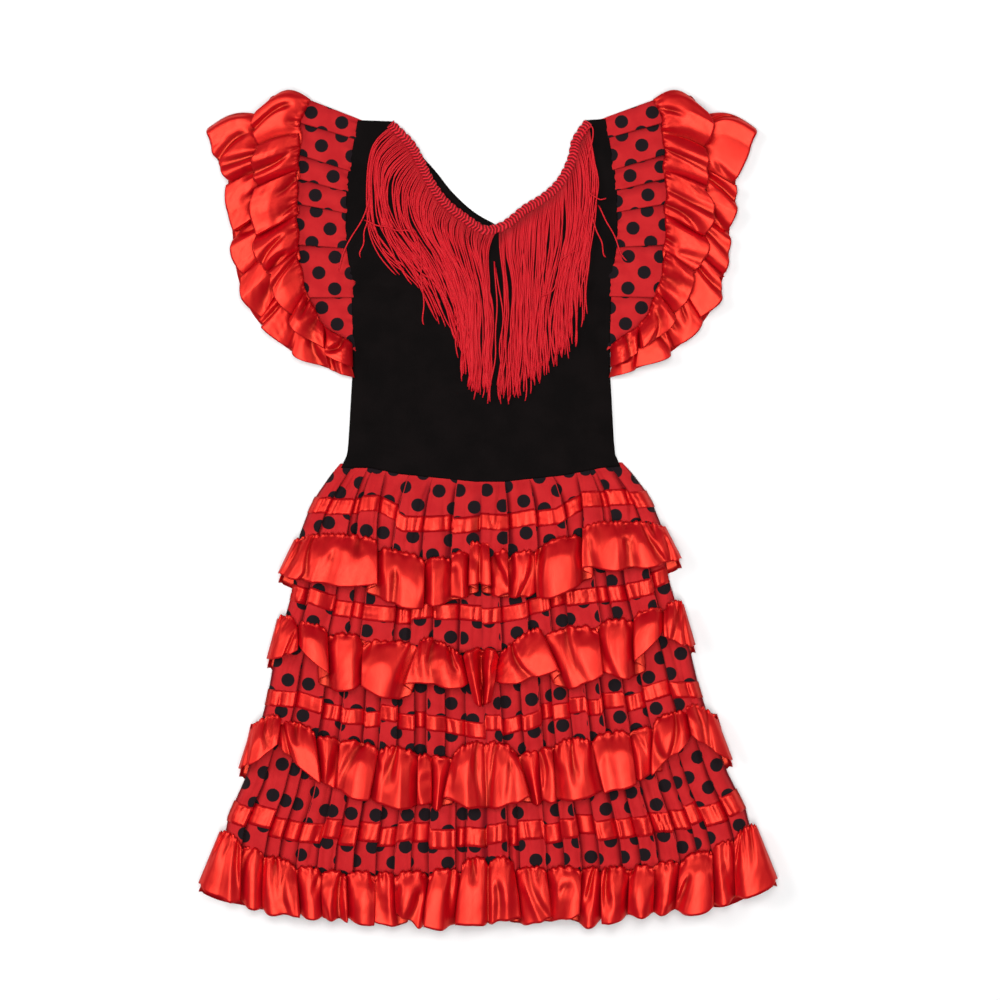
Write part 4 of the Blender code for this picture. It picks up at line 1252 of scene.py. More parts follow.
# ---------------------------------------------------------------- skirt
@dataclass(frozen=True)
class SkirtTier:
    """One tier: a pleated spotted panel, a ribbon across it and a ruffle at its foot.

    Fields:
        number: 0 at the waist to 3 at the hem.
        rows: Rows of points down the front panel.
        ruffle_rows: Rows of points down the front ruffle.
        back_rows: Rows of points down the back panel and the back ruffle.
    """

    number: int
    rows: int = 20
    ruffle_rows: int = 28
    back_rows: tuple[int, int] = (10, 12)

    @property
    def table(self) -> Tier:
        """The tier's row in the table."""
        return TIERS[self.number]

    @staticmethod
    def halved(pleats: Sequence[Pleat]) -> tuple[Pleat, ...]:
        """Part wide pleats in two, at an uneven place.

        Args:
            pleats: The pleats from the side to the middle.

        Returns:
            The pleats with the parted ones.
        """
        kept: list[Pleat] = []
        for index, (outer, inner) in enumerate(zip(pleats, (*pleats[1:], Pleat(0, 0, 0)))):
            kept.append(outer)
            if outer.low - inner.low > 2.0 * PLEAT_LEAST and outer.top - inner.top > PLEAT_LEAST:
                share = PARTED_AT[index % len(PARTED_AT)]
                over = 1 if (index + len(pleats)) % 2 else -1
                kept.append(Pleat(mix(outer.top, inner.top, share), mix(outer.low, inner.low, share), over))
        return tuple(kept)

    def panel_lines(self, face: Face) -> Lines:
        """Lines down a panel.

        Args:
            face: Front or back.

        Returns:
            The lines.
        """
        top_y = TIERS[self.number - 1].seam[-1][1] if self.number else WAIST[0][1]
        half = float(look_up(SKIRT_SIDE, self.table.seam[-1][1]))
        edge = Pleat(float(look_up(SKIRT_SIDE, top_y)), half, 0)
        if face is Face.FRONT:
            pleats = self.halved((edge, *self.table.pleats))
            folding = Folding(SOFT_PLEAT_DEPTH, SOFT_PLEAT_DEPTH, tuck=4.5, spacing=1.3)
        else:
            pleats = (edge, *(Pleat(half * share, half * share, -1) for share in BACK_PLEAT_SHARES))
            folding = Folding(BACK_PLEAT_DEPTH, 0.0, tuck=4.0, spacing=6.0)
        return folding.lines([Petal(*pleat, top_y, top_y, 0, 0, 0) for pleat in pleats])

    def panel_points(self, lines: Lines, share: np.ndarray, face: Face) -> np.ndarray:
        """Points of a panel.

        Args:
            lines: Its lines.
            share: Shares of the way down, with a row for each row of points.
            face: Front or back.

        Returns:
            The points.
        """
        top_y, low_y = lines.y_top[0], self.table.seam[-1][1]
        low_x, low_at = placed(lines.side, lines.low, look_up(self.table.seam, lines.low))
        if self.number:
            above = look_up(TIERS[self.number - 1].seam, lines.top)
            top_x, top_at = placed(lines.side, lines.top, above - HIDDEN_GAP)
        else:
            top_x = middle_at(WAIST[0][1]) + lines.side * lines.top
            top_at = look_up(WAIST, top_x) + SEAM_ALLOWANCE
        x, y = mix(top_x, low_x, share), mix(top_at, low_at, share)
        straight = mix(look_up(SKIRT_SIDE, top_y), look_up(SKIRT_SIDE, low_y), share)
        middle = middle_at(y)
        x = middle + (x - middle) * look_up(SKIRT_SIDE, mix(top_y, low_y, share)) / straight
        x = x + lines.side * (lines.tuck * smooth(share / TUCK_OPENED) + lines.bulge)
        cleared = ramp(share, *BODICE_CLEARED)
        depth = mix(0.0 if self.number else WAIST_PLEAT * cleared, 1.0,
                    np.minimum(share / self.table.settled, 1.0))
        if face is Face.BACK:
            return stacked(x, y, level_at(y, face) - lines.rise * depth)
        wave = PLEAT_WAVE * np.sin(lines.low / PLEAT_WAVE_APART + 2.0 * self.number + lines.side)
        uneven = (1.0 + wave * np.sin(np.pi * share ** 2)) * (1.0 - 0.3 * ramp(share, 0.8, 0.2))
        if self.number:
            z = level_at(y, face) + lines.rise * uneven * depth
        else:
            drop = SEAM_DROP * (1.0 - ramp(share, *SEAM_RISEN))
            z = level_at(y, face) + lines.rise * uneven * (depth * cleared) - drop
        return stacked(x, y, self.softened(z, lines, share))

    def softened(self, z: np.ndarray, lines: Lines, share: np.ndarray) -> np.ndarray:
        """Add a front panel's roundness and its small creases.

        Args:
            z: Its heights without them.
            lines: Its lines.
            share: Shares of the way down.

        Returns:
            The heights.
        """
        along, down = np.broadcast_to(lines.along(), z.shape), np.broadcast_to(share, z.shape)
        length = float(abs(lines.y_top[0] - self.table.seam[-1][1]))
        foot = Gathers(Seed.PANEL_FOOT + self.number, (4.0, 9.0), from_low=True)
        head = Gathers(Seed.PANEL_HEAD + self.number, (5.0, 11.0))
        lobes = Lobes(Seed.PANEL_LOBES + self.number, (6.0, 19.0), (0.8, 2.3), (0.9, 1.6), (0.9, 2.0),
                      begun=0.8, full=0.3)
        creases = Lobes(Seed.SIDE_CREASES + self.number, (5.0, 11.0), (1.0, 2.8), wide=(1.2, 2.6), begun=0.6)
        seen = lines.seen * (1.0 if self.number else smooth(share / 0.2))
        seen = seen * tucked_in(lines.rise, SOFT_PLEAT_DEPTH, lines.share, lines.width, PLEAT_POCKET)
        z = z + seen * 0.6 * foot.heights(along, down, length)
        z = z + seen * 0.4 * head.heights(along, down, length)
        z = z + seen * PLEAT_PUFF * np.sin(np.pi * lines.share) * smooth(share / 0.6)
        z = z + seen * lobes.heights(along, down)
        z = z + seen * lines.near_side() * creases.heights(along, down)
        wrinkles = crumpled(along, length * down, Seed.PANEL_WRINKLES + self.number, size=11.0)
        return z + seen * PANEL_WRINKLE * wrinkles

    def panel_flat(self, lines: Lines, points: np.ndarray) -> np.ndarray:
        """Place of each point on the flat cloth, pleat by pleat.

        Args:
            lines: The panel's lines.
            points: Its points.

        Returns:
            The places.
        """
        flat = np.zeros(points.shape[:2] + (2,))
        for side, fold, own in lines.each_fold():
            across, up, foot = unfolded(points, own, lines.seen, -1)
            steps = lines.fold.max() - fold
            hidden = TURNED_UNDER * steps + TURNED_WAVE * math.sin(2.3 * steps + self.number)
            flat[:, own, 0] = across + foot[0] + (hidden * -side.value + TIER_CUT_SHIFT * self.number)
            flat[:, own, 1] = up + PANEL_CUT_START + PANEL_CUT_SHIFT * (self.number % 2)
        return flat

    def ruffle_lines(self, face: Face) -> Lines:
        """Lines down a ruffle.

        Args:
            face: Front or back.

        Returns:
            The lines.
        """
        if face is Face.FRONT:
            folding = Folding(PETAL_STEP, PETAL_STEP * CENTRE_RISE, tuck=7.0, spacing=1.0, sag=0.05,
                              crown=5.5, roll=True)
            return folding.lines(self.table.petals)
        edge, length = self.table.petals[0], BACK_RUFFLE_LENGTHS[self.number]
        petals = []
        for index, (outer, inner) in enumerate(zip(BACK_PETAL_SHARES, BACK_PETAL_SHARES[1:] + (0.0,))):
            seams = [float(look_up(self.table.seam, edge.top * share)) + HEADER for share in (outer, inner)]
            hems = [seam - HEADER - length for seam in seams]
            if index == 0:
                hems[0] = edge.hem_out
            edges = edge.top * outer, edge.low * outer
            petals.append(Petal(*edges, BACK_OVERS[index], *seams, *hems, BACK_PUFF))
        folding = Folding(BACK_WAVE, BACK_WAVE * CENTRE_RISE, tuck=5.0, spacing=3.5, sag=0.02, roll=True)
        return folding.lines(petals)

    def ruffle_points(self, lines: Lines, share: np.ndarray, face: Face) -> np.ndarray:
        """Points of a ruffle.

        Args:
            lines: Its lines.
            share: Shares of the way down.
            face: Front or back.

        Returns:
            The points.
        """
        y = mix(lines.y_top, lines.y_low, share)
        spread = mix(GATHERED, 1.0, smooth(share / RUFFLE_SPREAD))
        tuck = lines.tuck * mix(TUCK_SEWN, 1.0, smooth(share / TUCK_SPREAD)) + lines.bulge * spread
        x = mix(lines.top, lines.low, share) + tuck
        along, down = np.broadcast_to(lines.along(), y.shape), np.broadcast_to(share, y.shape)
        drop = SOFT_HEM_DROP * smooth(share) if self.number == len(TIERS) - 1 else 0.0
        if face is Face.FRONT:
            lobes, creases = self.ruffle_forms(lines, along, down)
            hem = HEM_WAVE[self.number] * lobes * share
            y = y + lines.seen * (PUCKER * creases * (1.0 - smooth(share / PUCKERED)) - hem)
            x, y = placed(lines.side, x, y)
            lift = SOFT_LIFT * smooth(share / RUFFLE_LIFTED) - drop
            wrinkles = crumpled(along, RUFFLE_CUT * down, Seed.RUFFLE_WRINKLES + self.number, size=9.0)
            z = level_at(y, face) + RUFFLE_BASE + lift + lines.rise * spread
            z = z + self.leaning(lines, share) + lines.seen * (lobes + creases + RUFFLE_WRINKLE * wrinkles)
            z = np.minimum(z, RUFFLE_TOP + 0.5 * (z - RUFFLE_TOP))
            if self.number == FLAP_TIER:
                z = z + np.where(lines.fold == lines.fold.max(), self.flap(x - middle_at(y), share), 0.0)
        else:
            peeking = ramp(lines.low / lines.low.max(), *PEEKING)
            y = y - share * peeking * (BACK_PEEK + BACK_PEEK_WAVE * np.sin(along / 9.0))
            x, y = placed(lines.side, x, y)
            header = level_at(y, face) - BACK_PLEAT_DEPTH - STEP
            flat = WALL / 2 + lines.rise * smooth(share / BACK_WAVED)
            z = mix(header, flat, smooth(share / BACK_SETTLED))
        between = (level_at(y, Face.FRONT) + level_at(y, Face.BACK)) / 2 - drop / 2
        z = mix(z, between + FOLD_HALF * face.value, lines.roll)
        return stacked(x, y, np.maximum(z, LEAST_Z))

    def ruffle_forms(self, lines: Lines, along: np.ndarray,
                     down: np.ndarray) -> tuple[np.ndarray, np.ndarray]:
        """Lobes and gathers of a front ruffle.

        Args:
            lines: Its lines.
            along: Distance along the cloth of every point.
            down: Share of the way down it.

        Returns:
            Heights of the lobes and of the gathers.
        """
        lobes = Lobes(Seed.RUFFLE_LOBES + self.number, LOBES_APART[self.number], (3.0, 7.4), wide=(2.8, 7.0),
                      begun=0.75, full=0.5)
        by_side = Lobes(Seed.SIDE_LOBES + self.number, (6.0, 13.0), (1.5, 5.0), wide=(1.6, 3.4), begun=0.7)
        gathers = Gathers(Seed.RUFFLE_GATHERS + self.number, (2.9, 6.8), depth=(0.9, 2.4), reach=(2.5, 7.5))
        heights = mix(lobes.heights(along, down), by_side.heights(along, down), lines.near_side())
        heights = heights * tucked_in(lines.rise, PETAL_STEP, lines.share, lines.width, POCKET)
        return heights, gathers.heights(along, down, RUFFLE_CUT)

    @staticmethod
    def flap(off: np.ndarray, share: np.ndarray) -> np.ndarray:
        """Heights of the flap at the middle of a ruffle: two ridges beside a hollow.

        Args:
            off: Distance from the middle line.
            share: Shares of the way down.

        Returns:
            The heights.
        """
        beside = np.abs(off) - mix(*CENTRE_FLAP.apart, share)
        ridge = CENTRE_FLAP.height * np.exp(-(beside / mix(*CENTRE_FLAP.width, share)) ** 2)
        within = np.exp(-(off / mix(*CENTRE_FLAP.hollow_width, share)) ** 2)
        opened = smooth(share / FLAP_OPENED) * (1.0 - ramp(share, *FLAP_CLOSED))
        return ridge - CENTRE_FLAP.hollow_depth * opened * within

    def leaning(self, lines: Lines, share: np.ndarray) -> np.ndarray:
        """Heights that tilt each petal its own way.

        Args:
            lines: The ruffle's lines.
            share: Shares of the way down.

        Returns:
            The heights.
        """
        draw = random.Random(Seed.LEANING + self.number)
        across, hem = np.zeros((2, len(lines.low)))
        for _, _, own in lines.each_fold():
            slope, lift = draw.uniform(-LEAN_SLOPE, LEAN_SLOPE), draw.uniform(0.0, LEAN_LIFT)
            place = lines.share if slope > 0 else 1.0 - lines.share
            across[own] = np.minimum(abs(slope) * lines.width * place, LEAN_MOST)[own]
            hem[own] = lift
        plain = np.flatnonzero((lines.tuck == 0) & (lines.bulge == 0))
        every = np.arange(len(lines.low))
        across, hem = (np.interp(every, plain, value[plain]) for value in (across, hem))
        return across * smooth(share / 0.8) + hem * share * share

    def ribbon_points(self, lines: Lines, face: Face) -> tuple[np.ndarray, np.ndarray]:
        """Points of the ribbon, laid on the panel and folded with it.

        Args:
            lines: The panel's lines.
            face: Front or back.

        Returns:
            The points, and their places on the flat ribbon.
        """
        fine = np.linspace(0.0, 1.0, 60)[:, None]
        panel = self.panel_points(lines, fine, face)
        draw = random.Random(Seed.RIBBON_LAID + self.number)
        shift, tilt = np.zeros((2, len(lines.low)))
        for _, _, own in lines.each_fold():
            shift[own] = draw.uniform(-RIBBON_SHIFT, RIBBON_SHIFT)
            tilt[own] = draw.uniform(-RIBBON_TILT, RIBBON_TILT)
        shift = shift + tilt * (lines.share - 0.5) * lines.seen
        out = np.abs(panel[len(fine) // 2, :, 0] - middle_at(panel[len(fine) // 2, :, 1]))
        drop = BACK_RIBBON_DROPS[self.number] if face is Face.BACK else 0.0
        _, top = placed(lines.side, out, look_up(self.table.ribbon, out) - drop + shift)
        down = np.linspace(0.0, 1.0, 7) * self.table.ribbon_height
        share = np.stack([np.interp(-(start - down), -column, fine[:, 0])
                          for start, column in zip(top, panel[:, :, 1].T)], axis=1)
        points = self.panel_points(lines, share, face)
        flat = stacked(lines.along(), -down[:, None])
        wrinkles = crumpled(flat[..., 0], flat[..., 1], Seed.RIBBON_WRINKLES + self.number, size=4.6)
        over = RIBBON_LIFT + np.maximum(RIBBON_WRINKLE * lines.seen * (1.0 + wrinkles), 0.0)
        return points + normals(points) * (over[..., None] * face.value), flat

    def build(self, finishes: Finishes) -> int:
        """Make the tier's six pieces.

        Args:
            finishes: The dress's finishes.

        Returns:
            How many pieces were made.
        """
        for face, counts in ((Face.FRONT, (self.rows, self.ruffle_rows)), (Face.BACK, self.back_rows)):
            word = face.name.lower()
            name = f"tier_{self.number + 1}"
            lines = self.panel_lines(face)
            points = self.panel_points(lines, np.linspace(0.0, 1.0, counts[0])[:, None], face)
            flat = self.panel_flat(lines, points)
            Cloth(points, flat, 0.4, Held.FOLDED).sewn(f"{name}_panel_{word}", finishes.spots)
            points, flat = self.ribbon_points(lines, face)
            Cloth(points, flat, 0.25, Held.FOLDED).sewn(f"{name}_ribbon_{word}", finishes.satin)
            lines = self.ruffle_lines(face)
            share = (np.linspace(0.0, 1.0, counts[1]) ** 1.2)[:, None]
            points = self.ruffle_points(lines, share, face)
            flat = stacked(lines.along(), -share * RUFFLE_CUT)
            Cloth(points, flat, 0.45, Held.GATHERED).sewn(f"{name}_ruffle_{word}", finishes.satin)
        return 6


def normals(points: np.ndarray) -> np.ndarray:
    """Unit normals of a grid of points, on its front face.

    Args:
        points: The grid, row by row down the cloth.

    Returns:
        A normal for each point.
    """
    down, across = np.gradient(points, axis=0), np.gradient(points, axis=1)
    normal = np.cross(down, across)
    return normal / np.maximum(np.linalg.norm(normal, axis=2, keepdims=True), 1e-9)


# ---------------------------------------------------------------- bodice
# Soft creases of the knit, each from one point to another.
Crease = namedtuple("Crease", "x y far_x far_y width depth")
BODICE_CREASES = (
    Crease(-110, 182, -60, 176, 6, 1.4), Crease(-106, 66, -84, 62, 4, 1.1),
    Crease(-86, 48, -60, 42, 4, 1.0), Crease(78, 60, 98, 56, 4, 1.1),
    Crease(60, 178, 100, 186, 6, 1.2), Crease(-20, 60, 30, 52, 12, 0.9),
    Crease(-96, 130, -88, 90, 6, 0.9), Crease(88, 150, 92, 100, 6, 0.9),
)


def bodice_height(x: np.ndarray, y: np.ndarray, level: float, puff: float) -> np.ndarray:
    """Height of the bodice: flat at its edges, slack in the middle.

    Args:
        x: Places across.
        y: Places up the dress.
        level: Its height at the edges.
        puff: The slack.

    Returns:
        The heights.
    """
    across = 1.0 - np.minimum(np.abs(x - middle_at(y)) / look_up(BODICE_SIDE, y), 1.0) ** 2
    down = np.sin(np.pi * np.clip((y - WAIST[0][1]) / PUFF_LENGTH, 0.0, 1.0))
    return level + puff * across * down


def bodice_edge(side: Side, share: Numbers) -> tuple[np.ndarray, np.ndarray, np.ndarray]:
    """Place of the bodice's side at shares of the way down.

    Args:
        side: Left or right.
        share: Shares of the way from the strap to the waist.

    Returns:
        Its x and y, and how far it is moved in from a straight line.
    """
    end = 0 if side is Side.LEFT else -1
    x, y = (mix(STRAP_OUTER[end][i], WAIST[end][i], share) for i in (0, 1))
    edge = middle_at(y) + side.value * look_up(BODICE_SIDE, y)
    return edge, y, edge - x


@dataclass(frozen=True)
class Bodice:
    """The knit bodice: a front with a V neck, and a back.

    Fields:
        front_size: Rows and columns of points of the front.
        back_size: Those of the back.
        wide: The width that the places of its columns are counted in.
        strap: How much of it the end of a strap takes.
    """

    front_size: tuple[int, int] = (150, 141)
    back_size: tuple[int, int] = (60, 71)
    wide: float = 14.0
    strap: float = 2.0

    def points(self, neck: Sequence[Sequence[float]], face: Face, size: tuple[int, int]) -> np.ndarray:
        """Points of one half.

        Args:
            neck: Its neckline.
            face: Front or back.
            size: Rows and columns of points.

        Returns:
            The points.
        """
        curve, wide = Curve(neck), self.wide
        across = np.linspace(0.0, wide, size[1])
        tops = np.empty((size[1], 2))
        for index, place in enumerate(across):
            if place < self.strap:
                tops[index] = mix(np.array(STRAP_OUTER[0]), np.array(neck[0]), place / self.strap)
            elif place > wide - self.strap:
                share = (place - (wide - self.strap)) / self.strap
                tops[index] = mix(np.array(neck[-1]), np.array(STRAP_OUTER[1]), share)
            else:
                tops[index] = curve.at((place - self.strap) / (wide - 2.0 * self.strap))
        waist_x = mix(WAIST[0][0], WAIST[-1][0], across / wide)
        share = np.linspace(0.0, 1.0, size[0])[:, None]
        x, y = mix(tops[:, 0], waist_x, share), mix(tops[:, 1], look_up(WAIST, waist_x), share)
        spread = across / (wide / 2.0) - 1.0
        left, right = bodice_edge(Side.LEFT, share)[2], bodice_edge(Side.RIGHT, share)[2]
        x = x + np.where(spread < 0, left, right) * spread ** 2
        if face is Face.BACK:
            return stacked(x, y, bodice_height(x, y, BODICE_BACK_Z, 0.0))
        z = bodice_height(x, y, BODICE_FRONT_Z, BODICE_PUFF)
        for crease in BODICE_CREASES:
            z = z - self.creased(x, y, crease)
        return stacked(x, y, z + SLACK * np.sin(x / 17.0 + y / 29.0) * np.sin(y / 23.0 - x / 41.0))

    @staticmethod
    def creased(x: np.ndarray, y: np.ndarray, crease: Crease) -> np.ndarray:
        """Depth of one crease.

        Args:
            x: Places across.
            y: Places up the dress.
            crease: The crease.

        Returns:
            The depths.
        """
        run = np.array((crease.far_x - crease.x, crease.far_y - crease.y), dtype=float)
        length = np.linalg.norm(run)
        run /= length
        along = (x - crease.x) * run[0] + (y - crease.y) * run[1]
        off = -(x - crease.x) * run[1] + (y - crease.y) * run[0]
        faded = 0.4 * length
        ends = smooth(along / faded + 0.5) * smooth((length - along) / faded + 0.5)
        return crease.depth * np.exp(-(off / crease.width) ** 2) * ends

    def build(self, finishes: Finishes) -> int:
        """Make the two halves.

        Args:
            finishes: The dress's finishes.

        Returns:
            How many pieces were made.
        """
        for neck, face, size in ((FRONT_NECK, Face.FRONT, self.front_size),
                                 (BACK_NECK, Face.BACK, self.back_size)):
            points = self.points(neck, face, size)
            cloth = Cloth(points, points[..., :2].copy(), 0.6, Held.LAID)
            cloth.sewn(f"bodice_{face.name.lower()}", finishes.knit)
        return 2


# ---------------------------------------------------------------- sleeves
@dataclass(frozen=True)
class SleevePiece:
    """One piece of a sleeve.

    Fields:
        part: Its name.
        inner: The curve it is sewn to.
        outer: Its free edge.
        height: Rule for its height, from the share down it and the fold's rise.
        flares: Its folds, by share of the armhole; a plain piece has one.
        step: Height of an upper fold over the lower one; a plain piece has none.
        bulge: How far its shoulder end stands up.
    """

    part: str
    inner: Curve
    outer: Curve
    height: Callable[[np.ndarray, np.ndarray], Numbers]
    flares: tuple[Flare, ...] = PLAIN_FLARE
    step: float = 0.0
    bulge: float = 0.0

    @property
    def is_ruffle(self) -> bool:
        """Whether it is a gathered satin ruffle, not a pleated spotted panel."""
        return "ruffle" in self.part


SleeveLines = namedtuple("SleeveLines", "place rise fold seen arch share width")


@dataclass(frozen=True)
class Sleeve:
    """A cap sleeve: yoke, two ruffles and the panel between them, front and back.

    Fields:
        side: Left or right.
        rows: Rows of points down a folded piece and down a plain one.
        spacing: Distance between lines of points on a folded piece and on a plain one.
        tucks: How far the cloth goes back under a ruffle's fold and under a pleat.
        cut_start: Where a pleated piece's spots start.
        cut_shift: How far they move on from pleat to pleat.
    """

    side: Side
    rows: tuple[int, int] = (24, 10)
    spacing: tuple[float, float] = (1.0, 4.0)
    tucks: tuple[float, float] = (6.0, 4.0)
    cut_start: float = 10.0
    cut_shift: float = 12.75

    def lines(self, piece: SleevePiece, spacing: float, tuck: float) -> SleeveLines:
        """Lines down a piece.

        Args:
            piece: The piece.
            spacing: Distance between lines.
            tuck: How far the cloth goes back under a fold.

        Returns:
            For each line its place along the piece's edges, its rise, its fold, whether it
            shows, the fold's arch there, its share of the fold and the fold's width.
        """
        length = piece.outer.length
        table = []
        for index, flare in enumerate(piece.flares):
            last = index == len(piece.flares) - 1
            following = flare._replace(share=1.0, over=0) if last else piece.flares[index + 1]
            rises = (piece.step if flare.over > 0 else 0.0, piece.step if following.over < 0 else 0.0)
            width = (following.share - flare.share) * length
            parts = max(int(width / spacing), 3)
            for part in range(parts + 1):
                share = part / parts
                arch = math.sin(math.pi * share)
                place, rise = mix(flare.share, following.share, share), mix(*rises, share) + flare.puff * arch
                table.append(SleeveLines(place, rise, index, 1.0, arch, share, width))
            if last:
                break
            path, sign = (TURN, -1.0) if following.over < 0 else (TURN[::-1], 1.0)
            for turn in path:
                shift = turn.tuck * min(tuck, 0.4 * width) + turn.bulge * piece.step / 4
                place, rise = following.share + sign * shift / length, piece.step * turn.level
                table.append(SleeveLines(place, rise, index, shown(turn), 0.0, 0.5, width))
        return SleeveLines(*np.array(table).T)

    def cloth(self, piece: SleevePiece, seed: int) -> Cloth:
        """Points of one piece.

        Args:
            piece: The piece.
            seed: A number for its own unevenness.

        Returns:
            The cloth.
        """
        is_plain = not piece.step
        lines = self.lines(piece, self.spacing[is_plain], self.tucks[not piece.is_ruffle])
        share = np.linspace(0.0, 1.0, self.rows[is_plain])[:, None]
        place = np.clip(lines.place, 0.0, 1.0)
        inner, outer = piece.inner.at(place), piece.outer.at(place)
        out, y = (mix(inner[None, :, i], outer[None, :, i], share) for i in (0, 1))
        y = y + piece.bulge * np.sin(np.pi * share) * (1.0 - smooth(place / 0.2))
        if piece.is_ruffle:
            own = LOBE_SHARES[(lines.fold.astype(int) + seed) % len(LOBE_SHARES)]
            ends = smooth(place / 0.1), smooth((1.0 - place) / 0.1)
            out = out + share * LOBE * own * (lines.arch - 0.6) * ends[0] * ends[1]
            out = out - UNDERARM_GAP * ramp(place, 0.85, 0.15)
        steps = np.hypot(np.diff(lines.place * piece.outer.length), np.diff(lines.rise))
        along = np.broadcast_to(np.concatenate(([0.0], np.cumsum(steps))), out.shape)
        down = np.broadcast_to(share, out.shape)
        length = float(np.hypot(*(piece.outer.at(0.5) - piece.inner.at(0.5))))
        z = piece.height(share, lines.rise) + np.zeros_like(out)
        seen = lines.seen
        if not is_plain:
            pocket = POCKET if piece.is_ruffle else PLEAT_POCKET
            seen = seen * tucked_in(lines.rise, piece.step, lines.share, lines.width, pocket)
        if piece.is_ruffle and not is_plain:
            lobes = Lobes(seed, (11.0, 32.0), (1.8, 6.4), (0.8, 1.8), (2.2, 6.5), begun=0.6)
            gathers = Gathers(seed + 1, (2.8, 6.5), depth=(1.2, 3.0), reach=(3.0, 8.0))
            lobed = seen * lobes.heights(along, down)
            creases = gathers.heights(along, down, length) + PUCKER_RISE * (1.0 - smooth(share / 0.5))
            z = z + lobed + seen * creases
            z = z + seen * SLEEVE_WRINKLE * crumpled(along, length * down, seed + 7, size=7.0)
            wavy = np.sin(along / 4.3 + seed) + 0.7 * np.sin(along / 7.9)
            out = out + 0.6 * share * lobed
            out = out + SEAM_WAVE * wavy * (1.0 - smooth(share / 0.3)) * smooth(place / 0.1)
        elif not is_plain:
            z = z + 0.7 * seen * Gathers(seed + 1, (4.0, 9.0)).heights(along, down, length)
        points = stacked(MIDDLE[0].x + self.side.value * out, y, z)
        flat = stacked(along, -down * length) if piece.is_ruffle else self.flat(points, lines.fold, seen)
        if self.side is Side.LEFT:
            points, flat = points[:, ::-1], flat[:, ::-1]
        return Cloth(points, flat, 0.45, Held.GATHERED if piece.is_ruffle else Held.FOLDED)

    def flat(self, points: np.ndarray, fold: np.ndarray, seen: np.ndarray) -> np.ndarray:
        """Place of each point of a pleated piece on the flat cloth.

        Args:
            points: Its points.
            fold: The fold of each line.
            seen: How much of the line shows.

        Returns:
            The places.
        """
        flat = np.zeros(points.shape[:2] + (2,))
        for index in np.unique(fold):
            across, up, _ = unfolded(points, fold == index, seen, 0)
            flat[:, fold == index, 0] = across + self.cut_shift * index
            flat[:, fold == index, 1] = self.cut_start - up
        return flat

    def pieces(self) -> tuple[SleevePiece, ...]:
        """The sleeve's pieces and where they lie.

        Returns:
            The pieces.
        """
        seam_z, back_z = BODICE_FRONT_Z + YOKE_RISE, BODICE_BACK_Z + BACK_YOKE_RISE

        def yoke(share: np.ndarray, rise: np.ndarray) -> np.ndarray:
            """Height of the yoke."""
            z = BODICE_FRONT_Z + YOKE_RISE * smooth(share / YOKE_RISEN)
            z = z - SEAM_DROP * (1.0 - ramp(share, *YOKE_CLEARED))
            return z + rise * mix(YOKE_GATHER * smooth(share / 0.1), 1.0, share)

        def upper(share: np.ndarray, rise: np.ndarray) -> np.ndarray:
            """Height of the upper ruffle."""
            z = seam_z + YOKE_PLEAT_DEPTH + STEP + UPPER_LIFT * smooth(share / RUFFLE_LIFTED)
            return z + rise * mix(GATHERED, 1.0, smooth(share / RUFFLE_SPREAD))

        def under(share: np.ndarray, rise: np.ndarray) -> float:
            """Height of the under panel."""
            return seam_z

        def lower(share: np.ndarray, rise: np.ndarray) -> np.ndarray:
            """Height of the lower ruffle."""
            drop = LOWER_DROP * ramp(share, LOWER_START, 1.0 - LOWER_START)
            return seam_z + STEP - drop + rise * smooth(share)

        def back_yoke(share: np.ndarray, rise: np.ndarray) -> np.ndarray:
            """Height of the back yoke."""
            return mix(BODICE_BACK_Z, back_z, smooth(share / BACK_YOKE_RISEN))

        def back_upper(share: np.ndarray, rise: np.ndarray) -> float:
            """Height of the back upper ruffle."""
            return BODICE_BACK_Z

        def back_lower(share: np.ndarray, rise: np.ndarray) -> np.ndarray:
            """Height of the back lower ruffle."""
            return mix(back_z, BODICE_BACK_Z, ramp(share, BACK_LOWER_START, 1.0 - BACK_LOWER_START))

        edge, y, _ = bodice_edge(self.side, np.linspace(0.0, ARMHOLE_END, 7))
        armhole = Curve(np.stack((self.side.value * (edge - MIDDLE[0].x) - SEAM_ALLOWANCE, y), axis=1))
        yoke_seam, upper_hem = Curve(YOKE_SEAM), Curve(UPPER_HEM)
        lower_seam, lower_hem = Curve(LOWER_SEAM), Curve(LOWER_HEM)
        on_yoke = Curve(np.add(YOKE_SEAM, ON_YOKE))
        between = Curve(np.add(YOKE_SEAM, LOWER_SEAM) / 2)
        beyond_yoke, beyond_lower = (Curve(np.add(seam, (EDGE_SHIFT, 0))) for seam in (YOKE_SEAM, LOWER_SEAM))
        return (
            SleevePiece("yoke", armhole, yoke_seam, yoke, YOKE_PLEATS, YOKE_PLEAT_DEPTH),
            SleevePiece("ruffle_upper", on_yoke, upper_hem, upper, UPPER_FLARES, SLEEVE_STEP, UPPER_BULGE),
            SleevePiece("under_panel", beyond_yoke, lower_seam, under),
            SleevePiece("ruffle_lower", lower_seam, lower_hem, lower, LOWER_FLARES, LOWER_STEP, LOWER_BULGE),
            SleevePiece("back_yoke", armhole, lower_seam, back_yoke),
            SleevePiece("back_ruffle_upper", between, upper_hem, back_upper, bulge=UPPER_BULGE),
            SleevePiece("back_ruffle_lower", beyond_lower, lower_hem, back_lower, bulge=LOWER_BULGE),
        )

    def build(self, finishes: Finishes) -> int:
        """Make the sleeve.

        Args:
            finishes: The dress's finishes.

        Returns:
            How many pieces were made.
        """
        pieces = self.pieces()
        for index, piece in enumerate(pieces):
            finish = finishes.satin if piece.is_ruffle else finishes.spots
            seed = Seed.SLEEVES + 10 * index + self.side.value
            self.cloth(piece, seed).sewn(f"sleeve_{self.side.name.lower()}_{piece.part}", finish)
        return len(pieces)


